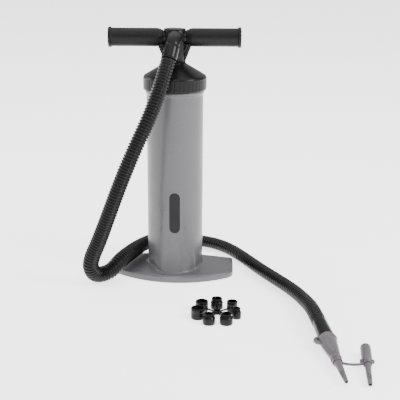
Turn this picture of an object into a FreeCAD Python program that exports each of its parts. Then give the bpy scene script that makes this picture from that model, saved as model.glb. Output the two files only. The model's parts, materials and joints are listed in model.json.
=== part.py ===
"""Double-action hand pump for inflatable boats.

The pump stands on its foot.  +Z is up along the barrel, X runs along the
handle and the foot's two wings, -Y is the front, where the hose leaves the
handle.  The origin is the centre of the barrel on the floor.  Millimetres.
"""
import FreeCAD, Part
import math
import os

V = FreeCAD.Vector
UP = V(0, 0, 1)

# ---------------------------------------------------------------- sizes
# barrel and foot, one moulding
BARREL_R = 54.0
BARREL_WALL = 2.6
BARREL_TOP = 378.0
COLLAR_OUT = 2.0
COLLAR_BELOW_TOP = 20.0
COLLAR_H = 5.4
FOOT_HALF_SPAN = 118.0
FOOT_END_TAPER = 5.0
FOOT_REAR_Y = 46.0
FOOT_END_FRONT_Y = -32.0
FOOT_FRONT_Y = -77.0
FOOT_SKIRT_H = 11.0
FOOT_DECK_H = 17.0
FOOT_WALL = 3.0
FOOT_CORNER_R = 8.0
FOOT_RIB_X = (68.0, 84.0, 100.0)
FOOT_RIB_W = 2.4
FOOT_TURN_DEG = -5.0
# apron: height, half its spread round the barrel in degrees, and how far
# it stands out of the barrel
APRON = ((168, 14.3, 0.3), (140, 23.4, 1.0), (110, 34.6, 2.2),
         (78, 50.9, 4.0), (50, 60.6, 7.0), (30, 58.5, 11.5),
         (14, 49.3, 18.0), (3, 43.0, 20.0))
APRON_BITE = 1.2
APRON_TURN_DEG = 4.0
VENT_W = 14.0
VENT_H = 4.0
THREAD_DEPTH = 1.6
THREAD_PITCH = 4.0
THREAD_BELOW_TOP = 11.0
THREAD_TURNS = 3
# label
LABEL_W = 20.5
LABEL_Z = (95.0, 174.0)
LABEL_T = 0.4

# bottom valve
BASE_SEAT_Z = 18.0
BASE_T = 8.0
LEDGE_H = 2.0
LEDGE_W = 2.9
LOCK_RING_T = 2.4
LOCK_GROOVE = 1.2
LOCK_RING_GAP_DEG = 24.0
FLAP_T = 1.5
FLAP_LIFT = 2.0
AIR_HOLE_R = 4.0
AIR_HOLES = 8
BASE_HOLE_IN = 27.4
BASE_FLAP_LAP = 6.0
STUD_R = 5.0
STUD_HEAD_R = 11.0
STUD_HEAD_T = 2.7

# rod and piston
ROD_R = 15.0
ROD_WALL = 3.5
PISTON_Z = 28.0
PISTON_DISC_T = 12.0
PISTON_CORE_H = 32.0
PISTON_GAP = 0.8
SEAL_H = 4.6
SEAL_DEPTH = 4.0
CORE_WALL_IN = (14.4, 6.4)
PISTON_FLAP_SHY = 2.0
PISTON_HOLE_OUT = 10.5
ROD_SEAT_H = 4.0
ROD_SEAT_SHY = 1.0
SPACER_T = 4.0
ROD_PORT_R = 4.5
PLUG_H = 6.0
BOLT_R = 3.0
BOLT_HEAD_R = 6.5
BOLT_HEAD_T = 4.5
SCREW_R = 2.0
SCREW_HEAD_R = 3.8
SCREW_L = 22.0
SCREWS = 4

# top plate inside the cap
PLATE_FLANGE_T = 3.5
PLATE_T = 4.0
SPIGOT_H = 12.0
SPIGOT_W = 3.2
BOSS_T = 4.0
BOSS_H = 14.0
BUSH_T = 3.0
WIPER_H = 4.0
TOP_RING_W = 7.0
TOP_HOLE_OUT = 7.0
TOP_FLAP_SHY = 2.0
TOP_RING_T = 2.0
STOP_GAP = 4.0

# cap
THREAD_PLAY = 1.0
CAP_SKIRT_T = 3.4
CAP_LAP = 14.0
CAP_CHAMFER = 3.0
SKIRT_ABOVE_TOP = 9.0
SHOULDER_IN = 2.0
SHOULDER_H = 3.2
CONE_H = 21.6
NECK_OUT = 5.5
NECK_CHAMFER = 1.5
NECK_H = 2.7
NECK_PLAY = 2.0
CAP_WALL = 4.6
CAP_RIBS = 44
CAP_RIB_R = 1.1

# handle
HUB_WALL = 5.5
HUB_GAP = 0.5
HUB_H = 59.5
LID_T = 2.0
GRIP_BELOW_TOP = 14.0
GRIP_R = 17.0
GRIP_NECK_R = 13.8
GRIP_NECK_OFF = 1.5
GRIP_TAPER_L = 9.0
GRIP_END_X = 118.0
END_CAP_LIP = 2.0
END_CAP_T = 5.5
ARM_R = 12.5
ARM_WALL = 3.5
ARM_BORE_OFF = 5.5
WEB_BELOW_GRIP = 15.5
WEB_FOOT_IN = 1.5
WEB_HALF_T = 9.0
WEB_RIB = 1.0
SOCKET_BELOW_GRIP = 13.5
PIN_ABOVE_HUB = 16.0
PIN_R = 2.5
PORT_R = 13.5
PORT_BORE_R = 8.0
PORT_OUT = 10.5

# elbow and hose
ELBOW_R = 12.5
ELBOW_BEND_R = 18.0
ELBOW_TURN_DEG = 65.0
ELBOW_SWING_DEG = 16.0
ELBOW_BORE_R = 7.0
ELBOW_STUB = 14.0
STUB_R = 10.5
CUFF_OUT = 0.5
CUFF_L = 26.0
HOSE_R = 14.0
HOSE_WALL = 2.0

# nozzle, along its own axis from the collar's back face
NOZZLE_AT = (254.5, -347.0, 16.4)
NOZZLE_HEADING_DEG = -85.2
NOZZLE_TILT_DEG = 3.5
NOZZLE_L = 126.0
NOZZLE_TAIL_L = 30.0
NOZZLE_TAIL_R = 9.6
NOZZLE_COLLAR_R = 15.5
NOZZLE_COLLAR_L = 7.0
NOZZLE_RING = (60.0, 64.5, 8.8)
NOZZLE_LAND = (64.5, 75.0, 6.0)
NOZZLE_TIP_R = 3.0
NOZZLE_BORE = (6.4, 2.1)
EYE_AT = 12.4
EYE_R = 7.4
EYE_HOLE_R = 2.6
END_CUFF_L = 56.0
END_CUFF_R = (12.0, 13.4)

# spare nozzle on its strap
SPARE_AT = (313.0, -366.0, 11.0)
SPARE_HEADING_DEG = -97.0
SPARE_TILT_DEG = 2.5
SPARE_BODY = (42.0, 7.7)
SPARE_L = 110.0
SPARE_SPOUT_R = (4.6, 3.1)
SPARE_EAR = 9.8
SPARE_STEP_L = 5.0
SPARE_EAR_BEHIND = 1.0
SPARE_EAR_L = 4.5
SPARE_EAR_T = 4.4
SPARE_LOOP_GAP = 1.2
SPARE_LOOP_WALL = 1.4
STRAP_BOW = 11.0
STRAP_TRIM_L = 20.0
STRAP_T = 1.8
STRAP_H = 4.4
LOOP_L = 4.4
LOOP_WALL = 1.9

# valve adapters on their runner: outer radius, neck radius, bore radius
ADAPTERS = ((11.2, 9.6, 7.6), (11.2, 11.2, 8.6), (12.6, 12.6, 9.8),
            (11.0, 8.0, 6.2), (11.5, 9.0, 7.0), (8.2, 6.8, 4.8),
            (9.5, 9.5, 6.9))
ADAPTER_H = 19.0
ADAPTER_NECK_H = 7.0
ADAPTER_FLOOR_HOLE_IN = 2.6
ADAPTER_FLOOR = 4.0
ADAPTER_AT = (80.0, -226.0)
ADAPTER_RING_R = 34.5
ADAPTER_FIRST_DEG = 90.0
RUNNER_R = 7.0
RUNNER_Z = (5.0, 10.0)
RUNNER_ARM_W = 2.4

# clearances
RUNNING = 0.05
SNUG = 0.02
SLIDE = 0.4
SEAT = 0.1
BODY_GAP = 0.3

# ---------------------------------------------------------------- derived
BORE_R = BARREL_R - BARREL_WALL
COLLAR_R = BARREL_R + COLLAR_OUT
COLLAR_Z = (BARREL_TOP - COLLAR_BELOW_TOP,
            BARREL_TOP - COLLAR_BELOW_TOP + COLLAR_H)
THREAD_Z = BARREL_TOP - THREAD_BELOW_TOP
CAP_BORE_R = BARREL_R + THREAD_DEPTH + THREAD_PLAY
CAP_R = CAP_BORE_R + CAP_SKIRT_T
CAP_Z = BARREL_TOP - CAP_LAP
SKIRT_TOP = BARREL_TOP + SKIRT_ABOVE_TOP
SHOULDER = (CAP_R - SHOULDER_IN, SKIRT_TOP + SHOULDER_H)
NECK_R = ROD_R + NECK_OUT
CONE_TOP = (NECK_R + NECK_CHAMFER, SHOULDER[1] + CONE_H)
NECK_Z = CONE_TOP[1] + NECK_H
NECK_BORE_R = ROD_R + NECK_PLAY
BUSH_R = ROD_R + BUSH_T
BOSS_R = BUSH_R + BOSS_T
BOSS_TOP = BARREL_TOP + BOSS_H
TOP_RING_R = BOSS_R + TOP_RING_W
TOP_HOLE_PCR = TOP_RING_R + TOP_HOLE_OUT
SPIGOT_R = BORE_R - 0.2
TOP_FLAP_R = SPIGOT_R - SPIGOT_W - TOP_FLAP_SHY
BASE_HOLE_PCR = BORE_R - BASE_HOLE_IN
BASE_FLAP_R = BASE_HOLE_PCR + AIR_HOLE_R + BASE_FLAP_LAP
CORE_WALL = (BORE_R - CORE_WALL_IN[0], BORE_R - CORE_WALL_IN[1])
PISTON_FLAP_R = CORE_WALL[0] - PISTON_FLAP_SHY
PISTON_HOLE_PCR = ROD_R + PISTON_HOLE_OUT
ROD_SEAT_R = ROD_R - ROD_SEAT_SHY
SPACER_R = ROD_R + SPACER_T
PLUNGER_R = BORE_R - PISTON_GAP
SEAL_R = BORE_R - RUNNING
CORE_Z = PISTON_Z + PISTON_DISC_T
COVER_Z = CORE_Z + PISTON_CORE_H
PISTON_TOP = COVER_Z + PISTON_DISC_T
ROD_FOOT_Z = CORE_Z + ROD_SEAT_H
PORT_Z = ROD_FOOT_Z + PISTON_CORE_H / 2 - 2.0
PLATE_Z = BARREL_TOP - PLATE_T
SPIGOT_Z = BARREL_TOP - SPIGOT_H
PISTON_STROKE = SPIGOT_Z - STOP_GAP - PISTON_TOP
HUB_R = ROD_R + HUB_WALL
HUB_Z = NECK_Z + HUB_GAP
HUB_TOP = HUB_Z + HUB_H
GRIP_Z = HUB_TOP - GRIP_BELOW_TOP
SOCKET_TOP = GRIP_Z - SOCKET_BELOW_GRIP
CHAMBER_R = ROD_R - 3.0
PIN_Z = HUB_Z + PIN_ABOVE_HUB
ROD_TOP = SOCKET_TOP - 1.0
GRIP_NECK = (HUB_R + GRIP_NECK_OFF, GRIP_NECK_R)
GRIP_FULL_X = GRIP_NECK[0] + GRIP_TAPER_L
END_CAP_R = GRIP_R + END_CAP_LIP
ARM_BORE_R = ARM_R - ARM_WALL
ARM_BORE_X = HUB_R + ARM_BORE_OFF
WEB_TOP = (GRIP_FULL_X, GRIP_Z - WEB_BELOW_GRIP)
WEB_FOOT_X = HUB_R - WEB_FOOT_IN
PORT_FACE_Y = -(HUB_R + PORT_OUT)
CUFF_R = HOSE_R + CUFF_OUT
N_ADAPTERS = len(ADAPTERS)


# ---------------------------------------------------------------- helpers
def cyl(r, z0, z1, x=0.0, y=0.0):
    """A solid cylinder along Z."""
    return Part.makeCylinder(r, z1 - z0, V(x, y, z0))


def ring(r_out, r_in, z0, z1):
    """A flat ring about Z."""
    return cyl(r_out, z0, z1).cut(cyl(r_in, z0 - 1, z1 + 1))


def bar(r, a, b):
    """A solid cylinder from point a to point b."""
    run = b.sub(a)
    return Part.makeCylinder(r, run.Length, a, run)


def turned(points):
    """The closed (radius, height) outline turned about Z."""
    corners = [V(r, 0, z) for r, z in points]
    face = Part.Face(Part.makePolygon(corners + corners[:1]))
    return face.revolve(V(0, 0, 0), UP, 360)


def turned_x(points):
    """The closed (x, radius) outline turned about X."""
    corners = [V(x, 0, r) for x, r in points]
    face = Part.Face(Part.makePolygon(corners + corners[:1]))
    return face.revolve(V(0, 0, 0), V(1, 0, 0), 360)


def box(x0, x1, y0, y1, z0, z1):
    return Part.makeBox(x1 - x0, y1 - y0, z1 - z0, V(x0, y0, z0))


def around(shape, count, first_deg=0.0):
    """Copies of a shape turned evenly about Z, as a list."""
    copies = []
    for i in range(count):
        copy = shape.copy()
        copy.rotate(V(0, 0, 0), UP, first_deg + i * 360.0 / count)
        copies.append(copy)
    return copies


def cut_all(shape, tools):
    for tool in tools:
        shape = shape.cut(tool)
    return shape


def fuse_all(shape, others):
    for other in others:
        shape = shape.fuse(other)
    return shape.removeSplitter()


def frame_at(place, heading_deg, tilt_deg):
    """Placement whose +X runs along a heading, dipping by the tilt."""
    turn = FreeCAD.Rotation(UP, heading_deg)
    dip = FreeCAD.Rotation(V(0, 1, 0), tilt_deg)
    return FreeCAD.Placement(V(*place), turn.multiply(dip))


def placed(shape, placement):
    """A copy of a shape moved from its own frame into the pump's."""
    moved = shape.copy()
    moved.Placement = placement.multiply(moved.Placement)
    return moved


# ---------------------------------------------------------------- barrel
def apron(extra=0.0):
    """The bulge on the barrel's front that widens down into the foot."""
    sections = []
    inside = BARREL_R - APRON_BITE
    for z, half_deg, out in APRON:
        half_w = inside * math.sin(math.radians(half_deg))
        back = -inside * math.cos(math.radians(half_deg))
        left = V(-half_w, back, z)
        right = V(half_w, back, z)
        front = V(0, -(BARREL_R + out + extra), z)
        arc = Part.Arc(left, front, right).toShape()
        chord = Part.LineSegment(right, left).toShape()
        sections.append(Part.Wire([arc, chord]))
    bulge = Part.makeLoft(sections, True, False)
    bulge.rotate(V(0, 0, 0), UP, APRON_TURN_DEG)
    return bulge


def foot_plan():
    """The foot's outline: straight back and ends, arched front."""
    end_x = FOOT_HALF_SPAN - FOOT_END_TAPER
    a = V(-FOOT_HALF_SPAN, FOOT_END_FRONT_Y, 0)
    b = V(FOOT_HALF_SPAN, FOOT_END_FRONT_Y, 0)
    c = V(end_x, FOOT_REAR_Y, 0)
    d = V(-end_x, FOOT_REAR_Y, 0)
    edges = [Part.Arc(a, V(0, FOOT_FRONT_Y, 0), b).toShape(),
             Part.LineSegment(b, c).toShape(),
             Part.LineSegment(c, d).toShape(),
             Part.LineSegment(d, a).toShape()]
    return Part.Face(Part.Wire(edges))


def foot_roof(drop=0.0):
    """A low cone that gives the deck its fall from barrel to skirt."""
    reach = FOOT_HALF_SPAN + 20
    fall = (FOOT_DECK_H - FOOT_SKIRT_H) / (FOOT_HALF_SPAN - BARREL_R)
    edge = FOOT_SKIRT_H - 20 * fall
    return turned([(0, -1), (reach, -1), (reach, edge - drop),
                   (BARREL_R, FOOT_DECK_H - drop), (0, FOOT_DECK_H - drop)])


def foot_outer():
    block = foot_plan().extrude(V(0, 0, FOOT_DECK_H + 5))
    corners = [e for e in block.Edges
               if abs(e.Vertexes[0].X - e.Vertexes[-1].X) < 0.01
               and abs(e.Vertexes[0].Y - e.Vertexes[-1].Y) < 0.01
               and e.Length > FOOT_DECK_H]
    block = block.makeFillet(FOOT_CORNER_R, corners)
    block = block.common(foot_roof())
    block.rotate(V(0, 0, 0), UP, FOOT_TURN_DEG)
    return block


def foot_pocket():
    """The hollow under the foot, less the ribs that cross it."""
    inner = foot_plan().makeOffset2D(-FOOT_WALL)
    pocket = inner.extrude(V(0, 0, FOOT_DECK_H))
    pocket.translate(V(0, 0, -0.5))
    pocket = pocket.common(foot_roof(FOOT_WALL)).cut(cyl(BARREL_R, -2, 30))
    ribs = []
    for x in FOOT_RIB_X:
        for side in (-1, 1):
            ribs.append(box(side * x - FOOT_RIB_W / 2,
                            side * x + FOOT_RIB_W / 2, -90, 60, -2, 30))
    ribs.append(box(-FOOT_HALF_SPAN, FOOT_HALF_SPAN,
                    -FOOT_RIB_W / 2, FOOT_RIB_W / 2, -2, 30))
    ribs.append(box(-FOOT_RIB_W / 2, FOOT_RIB_W / 2, -90, 0, -2, 30))
    pocket = cut_all(pocket, ribs)
    pocket.rotate(V(0, 0, 0), UP, FOOT_TURN_DEG)
    return pocket


def thread_ridge(r, depth, z):
    """One ridge of the cap's thread, pointing out for depth > 0."""
    half = THREAD_PITCH * 0.3
    top = half * 0.4
    return turned([(r - math.copysign(0.5, depth), z - half),
                   (r, z - half), (r + depth, z - top),
                   (r + depth, z + top), (r, z + half),
                   (r - math.copysign(0.5, depth), z + half)])


def make_barrel():
    body = cyl(BARREL_R, 0, BARREL_TOP).fuse(foot_outer()).fuse(apron())
    body = body.fuse(ring(COLLAR_R, BARREL_R - 1, *COLLAR_Z))
    for i in range(THREAD_TURNS):
        body = body.fuse(thread_ridge(BARREL_R, THREAD_DEPTH,
                                      THREAD_Z + i * THREAD_PITCH))
    body = body.cut(foot_pocket())
    body = body.cut(cyl(BORE_R, -1, BARREL_TOP + 1))
    ledge_top = BASE_SEAT_Z + LEDGE_H
    body = body.fuse(ring(BORE_R + 0.5, BORE_R - LEDGE_W, BASE_SEAT_Z,
                          ledge_top))
    groove_top = BASE_SEAT_Z - BASE_T - SEAT
    groove = ring(BORE_R + LOCK_GROOVE, BORE_R - 1,
                  groove_top - LOCK_RING_T - 2 * SEAT, groove_top)
    body = body.cut(groove)
    vent = box(BORE_R - 3, BARREL_R + 3, -VENT_W / 2, VENT_W / 2, -1, VENT_H)
    vents = []
    for angle in (0, 180, 55, 90, 125):
        copy = vent.copy()
        copy.rotate(V(0, 0, 0), UP, angle)
        vents.append(copy)
    return cut_all(body, vents).removeSplitter()


def make_label():
    """A thin pill-shaped badge that follows the barrel's front."""
    z0, z1 = LABEL_Z
    half = LABEL_W / 2
    pill = box(-half, half, -BARREL_R - 20, -BARREL_R + 20,
               z0 + half, z1 - half)
    for z in (z0 + half, z1 - half):
        pill = pill.fuse(bar(half, V(0, -BARREL_R - 20, z),
                             V(0, -BARREL_R + 20, z)))
    pill = pill.removeSplitter()
    low, high = z0 - 5, z1 + 5
    patch = pill.common(cyl(BARREL_R + LABEL_T, low, high))
    patch = patch.fuse(pill.common(apron(LABEL_T)))
    return patch.cut(cyl(BARREL_R, low, high)).cut(apron()).removeSplitter()


# ---------------------------------------------------------------- base
def make_base_plate():
    z0 = BASE_SEAT_Z - BASE_T
    plate = cyl(BORE_R - 0.2, z0, BASE_SEAT_Z)
    plate = plate.cut(ring(BORE_R + 1, BORE_R - 2.4, z0 + 2.4, z0 + 5.4))
    holes = around(cyl(AIR_HOLE_R, z0 - 1, BASE_SEAT_Z + 1, BASE_HOLE_PCR),
                   AIR_HOLES)
    plate = cut_all(plate, holes)
    return plate.cut(cyl(STUD_R + SNUG, z0 - 1, BASE_SEAT_Z + 1))


def make_base_seal():
    z0 = BASE_SEAT_Z - BASE_T + 2.4
    return ring(BORE_R - SNUG, BORE_R - 2.3, z0 + SEAT, z0 + 3.0 - SEAT)


def make_lock_ring():
    top = BASE_SEAT_Z - BASE_T - 2 * SEAT
    whole = ring(BORE_R + LOCK_GROOVE - 0.2, BORE_R - 4.4,
                 top - LOCK_RING_T + 2 * SEAT, top)
    gap = math.radians(LOCK_RING_GAP_DEG / 2)
    reach = BORE_R + 6
    wedge = Part.makePolygon([V(0, 0, 0),
                              V(reach * math.cos(-gap),
                                reach * math.sin(-gap), 0),
                              V(reach * math.cos(gap),
                                reach * math.sin(gap), 0), V(0, 0, 0)])
    wedge = Part.Face(wedge).extrude(V(0, 0, 30))
    wedge.rotate(V(0, 0, 0), UP, 270)
    return whole.cut(wedge)


def make_base_stud():
    head_z = BASE_SEAT_Z + 2 * SEAT + FLAP_T + FLAP_LIFT
    z0 = BASE_SEAT_Z - BASE_T
    return turned([(0, z0 - 1.6), (STUD_R + 2, z0 - 1.6), (STUD_R + 2, z0),
                   (STUD_R, z0), (STUD_R, head_z), (STUD_HEAD_R, head_z),
                   (STUD_HEAD_R, head_z + 1.0),
                   (STUD_HEAD_R - 3.0, head_z + STUD_HEAD_T),
                   (0, head_z + STUD_HEAD_T)])


def flap(r_out, r_in, z):
    """A rubber valve disc lying on height z."""
    return ring(r_out, r_in, z, z + FLAP_T)


# ---------------------------------------------------------------- top
def make_top_plate():
    flange_top = BARREL_TOP + PLATE_FLANGE_T
    plate = turned([(BUSH_R, SPIGOT_Z), (BOSS_R, SPIGOT_Z),
                    (BOSS_R, PLATE_Z), (SPIGOT_R - SPIGOT_W, PLATE_Z),
                    (SPIGOT_R - SPIGOT_W, SPIGOT_Z), (SPIGOT_R, SPIGOT_Z),
                    (SPIGOT_R, BARREL_TOP), (BARREL_R, BARREL_TOP),
                    (BARREL_R, flange_top), (BOSS_R, flange_top),
                    (BOSS_R, BOSS_TOP), (BUSH_R, BOSS_TOP)])
    lip = ring(BUSH_R + 0.5, ROD_R + 0.6, SPIGOT_Z, SPIGOT_Z + 2)
    plate = plate.fuse(lip)
    z0 = SPIGOT_Z + 4.0
    plate = plate.cut(ring(BORE_R + 1, BORE_R - 2.2, z0, z0 + 3.2))
    holes = around(cyl(AIR_HOLE_R + 0.5, PLATE_Z - 1, flange_top + 1,
                       TOP_HOLE_PCR), AIR_HOLES + 2)
    return cut_all(plate, holes).removeSplitter()


def make_cap_seal():
    z0 = SPIGOT_Z + 4.0
    return ring(BORE_R - SNUG, BORE_R - 2.1, z0 + SEAT, z0 + 3.2 - SEAT)


def make_rod_bush():
    return ring(BUSH_R - SNUG, ROD_R + RUNNING, SPIGOT_Z + 2.2,
                BOSS_TOP - WIPER_H)


def make_rod_wiper():
    top = BOSS_TOP
    low = BOSS_TOP - WIPER_H
    return turned([(BUSH_R - SNUG, low), (BUSH_R - SNUG, top),
                   (ROD_R + 1.6, top), (ROD_R + RUNNING, top - 1.2),
                   (ROD_R + RUNNING, low + 0.8), (ROD_R + 1.0, low)])


def make_top_ring():
    """Snap ring round the boss that the top flap drops onto."""
    top = PLATE_Z - 2 * SEAT - FLAP_T - FLAP_LIFT
    return ring(TOP_RING_R, BOSS_R + SNUG, top - TOP_RING_T, top)


def make_cap():
    seat = BARREL_TOP + PLATE_FLANGE_T
    cone_in = SHOULDER[1] - 1.2
    neck_in = CONE_TOP[1] - CAP_WALL - 1.8
    outline = [(CAP_R - CAP_CHAMFER + 0.5, CAP_Z),
               (CAP_R, CAP_Z + CAP_CHAMFER), (CAP_R, SKIRT_TOP), SHOULDER,
               CONE_TOP, (NECK_R, CONE_TOP[1] + 0.9), (NECK_R, NECK_Z),
               (NECK_BORE_R, NECK_Z), (NECK_BORE_R, neck_in),
               (BOSS_R + 2, neck_in), (SHOULDER[0] - 7, cone_in),
               (SHOULDER[0] - 7, seat), (CAP_BORE_R, seat),
               (CAP_BORE_R, CAP_Z)]
    cap = turned(outline)
    for i in range(THREAD_TURNS - 1):
        z = THREAD_Z + (i + 0.5) * THREAD_PITCH
        cap = cap.fuse(thread_ridge(CAP_BORE_R, -THREAD_DEPTH, z))
    groove = cyl(CAP_RIB_R, CAP_Z + CAP_CHAMFER + 1.5, SKIRT_TOP - 1.5,
                 CAP_R + CAP_RIB_R * 0.35)
    return cut_all(cap, around(groove, CAP_RIBS))


# ---------------------------------------------------------------- piston
def seal_groove(z0):
    z = z0 + (PISTON_DISC_T - SEAL_H) / 2 - SEAT
    return ring(BORE_R + 1, PLUNGER_R - SEAL_DEPTH, z,
                z + SEAL_H + 2 * SEAT)


def make_piston_seal(z0):
    """A lip ring with eased edges that runs in the barrel."""
    z = z0 + (PISTON_DISC_T - SEAL_H) / 2
    inner = PLUNGER_R - SEAL_DEPTH + SNUG
    return turned([(inner, z), (SEAL_R - 0.6, z), (SEAL_R, z + 0.8),
                   (SEAL_R, z + SEAL_H - 0.8), (SEAL_R - 0.6, z + SEAL_H),
                   (inner, z + SEAL_H)])


def screw_places():
    middle = sum(CORE_WALL) / 2
    step = 2 * math.pi / SCREWS
    return [(middle * math.cos((i + 0.5) * step),
             middle * math.sin((i + 0.5) * step)) for i in range(SCREWS)]


def make_piston_base():
    disc = cyl(PLUNGER_R, PISTON_Z, CORE_Z).cut(seal_groove(PISTON_Z))
    disc = disc.fuse(ring(CORE_WALL[1], CORE_WALL[0], CORE_Z - 1, COVER_Z))
    disc = disc.fuse(cyl(ROD_SEAT_R, CORE_Z - 1, ROD_FOOT_Z))
    disc = disc.cut(cyl(BOLT_R + SNUG, PISTON_Z - 1, ROD_FOOT_Z + 1))
    disc = disc.cut(cyl(BOLT_HEAD_R + 0.4, PISTON_Z - 1,
                        PISTON_Z + BOLT_HEAD_T + 0.5))
    holes = around(cyl(AIR_HOLE_R, PISTON_Z - 1, CORE_Z + 1,
                       PISTON_HOLE_PCR), AIR_HOLES)
    disc = cut_all(disc, holes)
    depth = COVER_Z - (SCREW_L - PISTON_DISC_T + 4.0)
    pilots = [cyl(SCREW_R + SNUG, depth, COVER_Z + 1, x, y)
              for x, y in screw_places()]
    return cut_all(disc, pilots).removeSplitter()


def make_piston_cover():
    disc = cyl(PLUNGER_R, COVER_Z, PISTON_TOP).cut(seal_groove(COVER_Z))
    disc = disc.cut(cyl(ROD_R + SNUG, COVER_Z - 1, PISTON_TOP + 1))
    holes = around(cyl(AIR_HOLE_R, COVER_Z - 1, PISTON_TOP + 1,
                       PISTON_HOLE_PCR), AIR_HOLES)
    disc = cut_all(disc, holes)
    for x, y in screw_places():
        disc = disc.cut(cyl(SCREW_R + 0.2, COVER_Z - 1, PISTON_TOP, x, y))
        disc = disc.cut(cyl(SCREW_HEAD_R + 0.3, PISTON_TOP - 3.0,
                            PISTON_TOP + 1, x, y))
    return disc


def make_piston_screws():
    screws = []
    head_z = PISTON_TOP - 3.0
    for x, y in screw_places():
        screw = cyl(SCREW_R, PISTON_TOP - SCREW_L, head_z + 0.1, x, y)
        screw = screw.fuse(cyl(SCREW_HEAD_R, head_z, PISTON_TOP - 0.4, x, y))
        slot = box(x - SCREW_HEAD_R - 1, x + SCREW_HEAD_R + 1, y - 0.5,
                   y + 0.5, PISTON_TOP - 1.4, PISTON_TOP + 1)
        cross = slot.copy()
        cross.rotate(V(x, y, 0), UP, 90)
        screws.append(screw.cut(slot).cut(cross).removeSplitter())
    return Part.makeCompound(screws)


def make_piston_bolt():
    head_top = PISTON_Z + BOLT_HEAD_T + 0.3
    bolt = cyl(BOLT_R, head_top - 0.1, ROD_FOOT_Z + PLUG_H - 1)
    head = cyl(BOLT_HEAD_R, PISTON_Z + 0.3, head_top)
    corners = [V(3 * math.cos(math.radians(60 * i)),
                 3 * math.sin(math.radians(60 * i)), PISTON_Z)
               for i in range(7)]
    key = Part.Face(Part.makePolygon(corners)).extrude(V(0, 0, 3))
    return bolt.fuse(head.cut(key)).removeSplitter()


def make_rod_plug():
    plug = cyl(ROD_R - ROD_WALL - SNUG, ROD_FOOT_Z, ROD_FOOT_Z + PLUG_H)
    return plug.cut(cyl(BOLT_R + SNUG, ROD_FOOT_Z - 1,
                        ROD_FOOT_Z + PLUG_H - 0.9))


def make_rod():
    rod = ring(ROD_R, ROD_R - ROD_WALL, ROD_FOOT_Z, ROD_TOP)
    for angle in (0, 90):
        port = bar(ROD_PORT_R, V(-30, 0, PORT_Z), V(30, 0, PORT_Z))
        port.rotate(V(0, 0, 0), UP, angle)
        rod = rod.cut(port)
    return rod.cut(bar(PIN_R + SNUG, V(0, -30, PIN_Z), V(0, 30, PIN_Z)))


def make_valve_spacer():
    """Slotted sleeve that keeps both piston flaps in their places."""
    low = CORE_Z + SEAT + FLAP_T + FLAP_LIFT + SEAT
    low = max(low, ROD_FOOT_Z)
    high = COVER_Z - 2 * SEAT - FLAP_T - FLAP_LIFT
    sleeve = ring(SPACER_R, ROD_R + RUNNING, low, high)
    for angle in (0, 90):
        port = bar(ROD_PORT_R + 1, V(-30, 0, PORT_Z), V(30, 0, PORT_Z))
        port.rotate(V(0, 0, 0), UP, angle)
        sleeve = sleeve.cut(port)
    return sleeve


# ---------------------------------------------------------------- handle
def web_outline():
    return [(-WEB_FOOT_X, HUB_Z), (WEB_FOOT_X, HUB_Z), WEB_TOP,
            (WEB_TOP[0], GRIP_Z), (-WEB_TOP[0], GRIP_Z),
            (-WEB_TOP[0], WEB_TOP[1])]


def make_tee():
    """Hub, arms and webs of the handle, with the air way inside."""
    hub = cyl(HUB_R, HUB_Z, HUB_TOP)
    corners = [V(x, -WEB_HALF_T, z) for x, z in web_outline()]
    web = Part.Face(Part.makePolygon(corners + corners[:1]))
    web = fuse_all(web.extrude(V(0, 2 * WEB_HALF_T, 0)), web_ribs())
    arms = bar(ARM_R, V(-GRIP_END_X, 0, GRIP_Z), V(GRIP_END_X, 0, GRIP_Z))
    collar = GRIP_NECK[0] - BODY_GAP
    neck = bar(GRIP_NECK[1], V(-collar, 0, GRIP_Z),
               V(collar, 0, GRIP_Z))
    grip_room = [turned_x([(side * (GRIP_NECK[0] - 0.1), ARM_R),
                           (side * GRIP_END_X, ARM_R),
                           (side * GRIP_END_X, GRIP_R + 0.2),
                           (side * GRIP_FULL_X, GRIP_R + 0.2),
                           (side * (GRIP_NECK[0] - 0.1),
                            GRIP_NECK[1] + 0.2)]) for side in (-1, 1)]
    for room in grip_room:
        room.translate(V(0, 0, GRIP_Z))
        web = web.cut(room)
    port = bar(PORT_R, V(0, 0, GRIP_Z), V(0, PORT_FACE_Y, GRIP_Z))
    tee = fuse_all(hub, [web, arms, neck, port])
    tee = tee.cut(cyl(ROD_R + SNUG, HUB_Z - 1, SOCKET_TOP))
    tee = tee.cut(cyl(CHAMBER_R, SOCKET_TOP - 1, HUB_TOP + 1))
    tee = tee.cut(bar(PORT_BORE_R, V(0, 0, GRIP_Z),
                      V(0, PORT_FACE_Y - 1, GRIP_Z)))
    for side in (-1, 1):
        tee = tee.cut(bar(ARM_BORE_R, V(side * ARM_BORE_X, 0, GRIP_Z),
                          V(side * (GRIP_END_X + 1), 0, GRIP_Z)))
    tee = tee.cut(bar(PIN_R + SNUG, V(0, -30, PIN_Z), V(0, 30, PIN_Z)))
    tee = tee.cut(ring(ROD_R + 2.0, ROD_R - 1, SOCKET_TOP - 8,
                       SOCKET_TOP - 5))
    return tee.removeSplitter()


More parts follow.
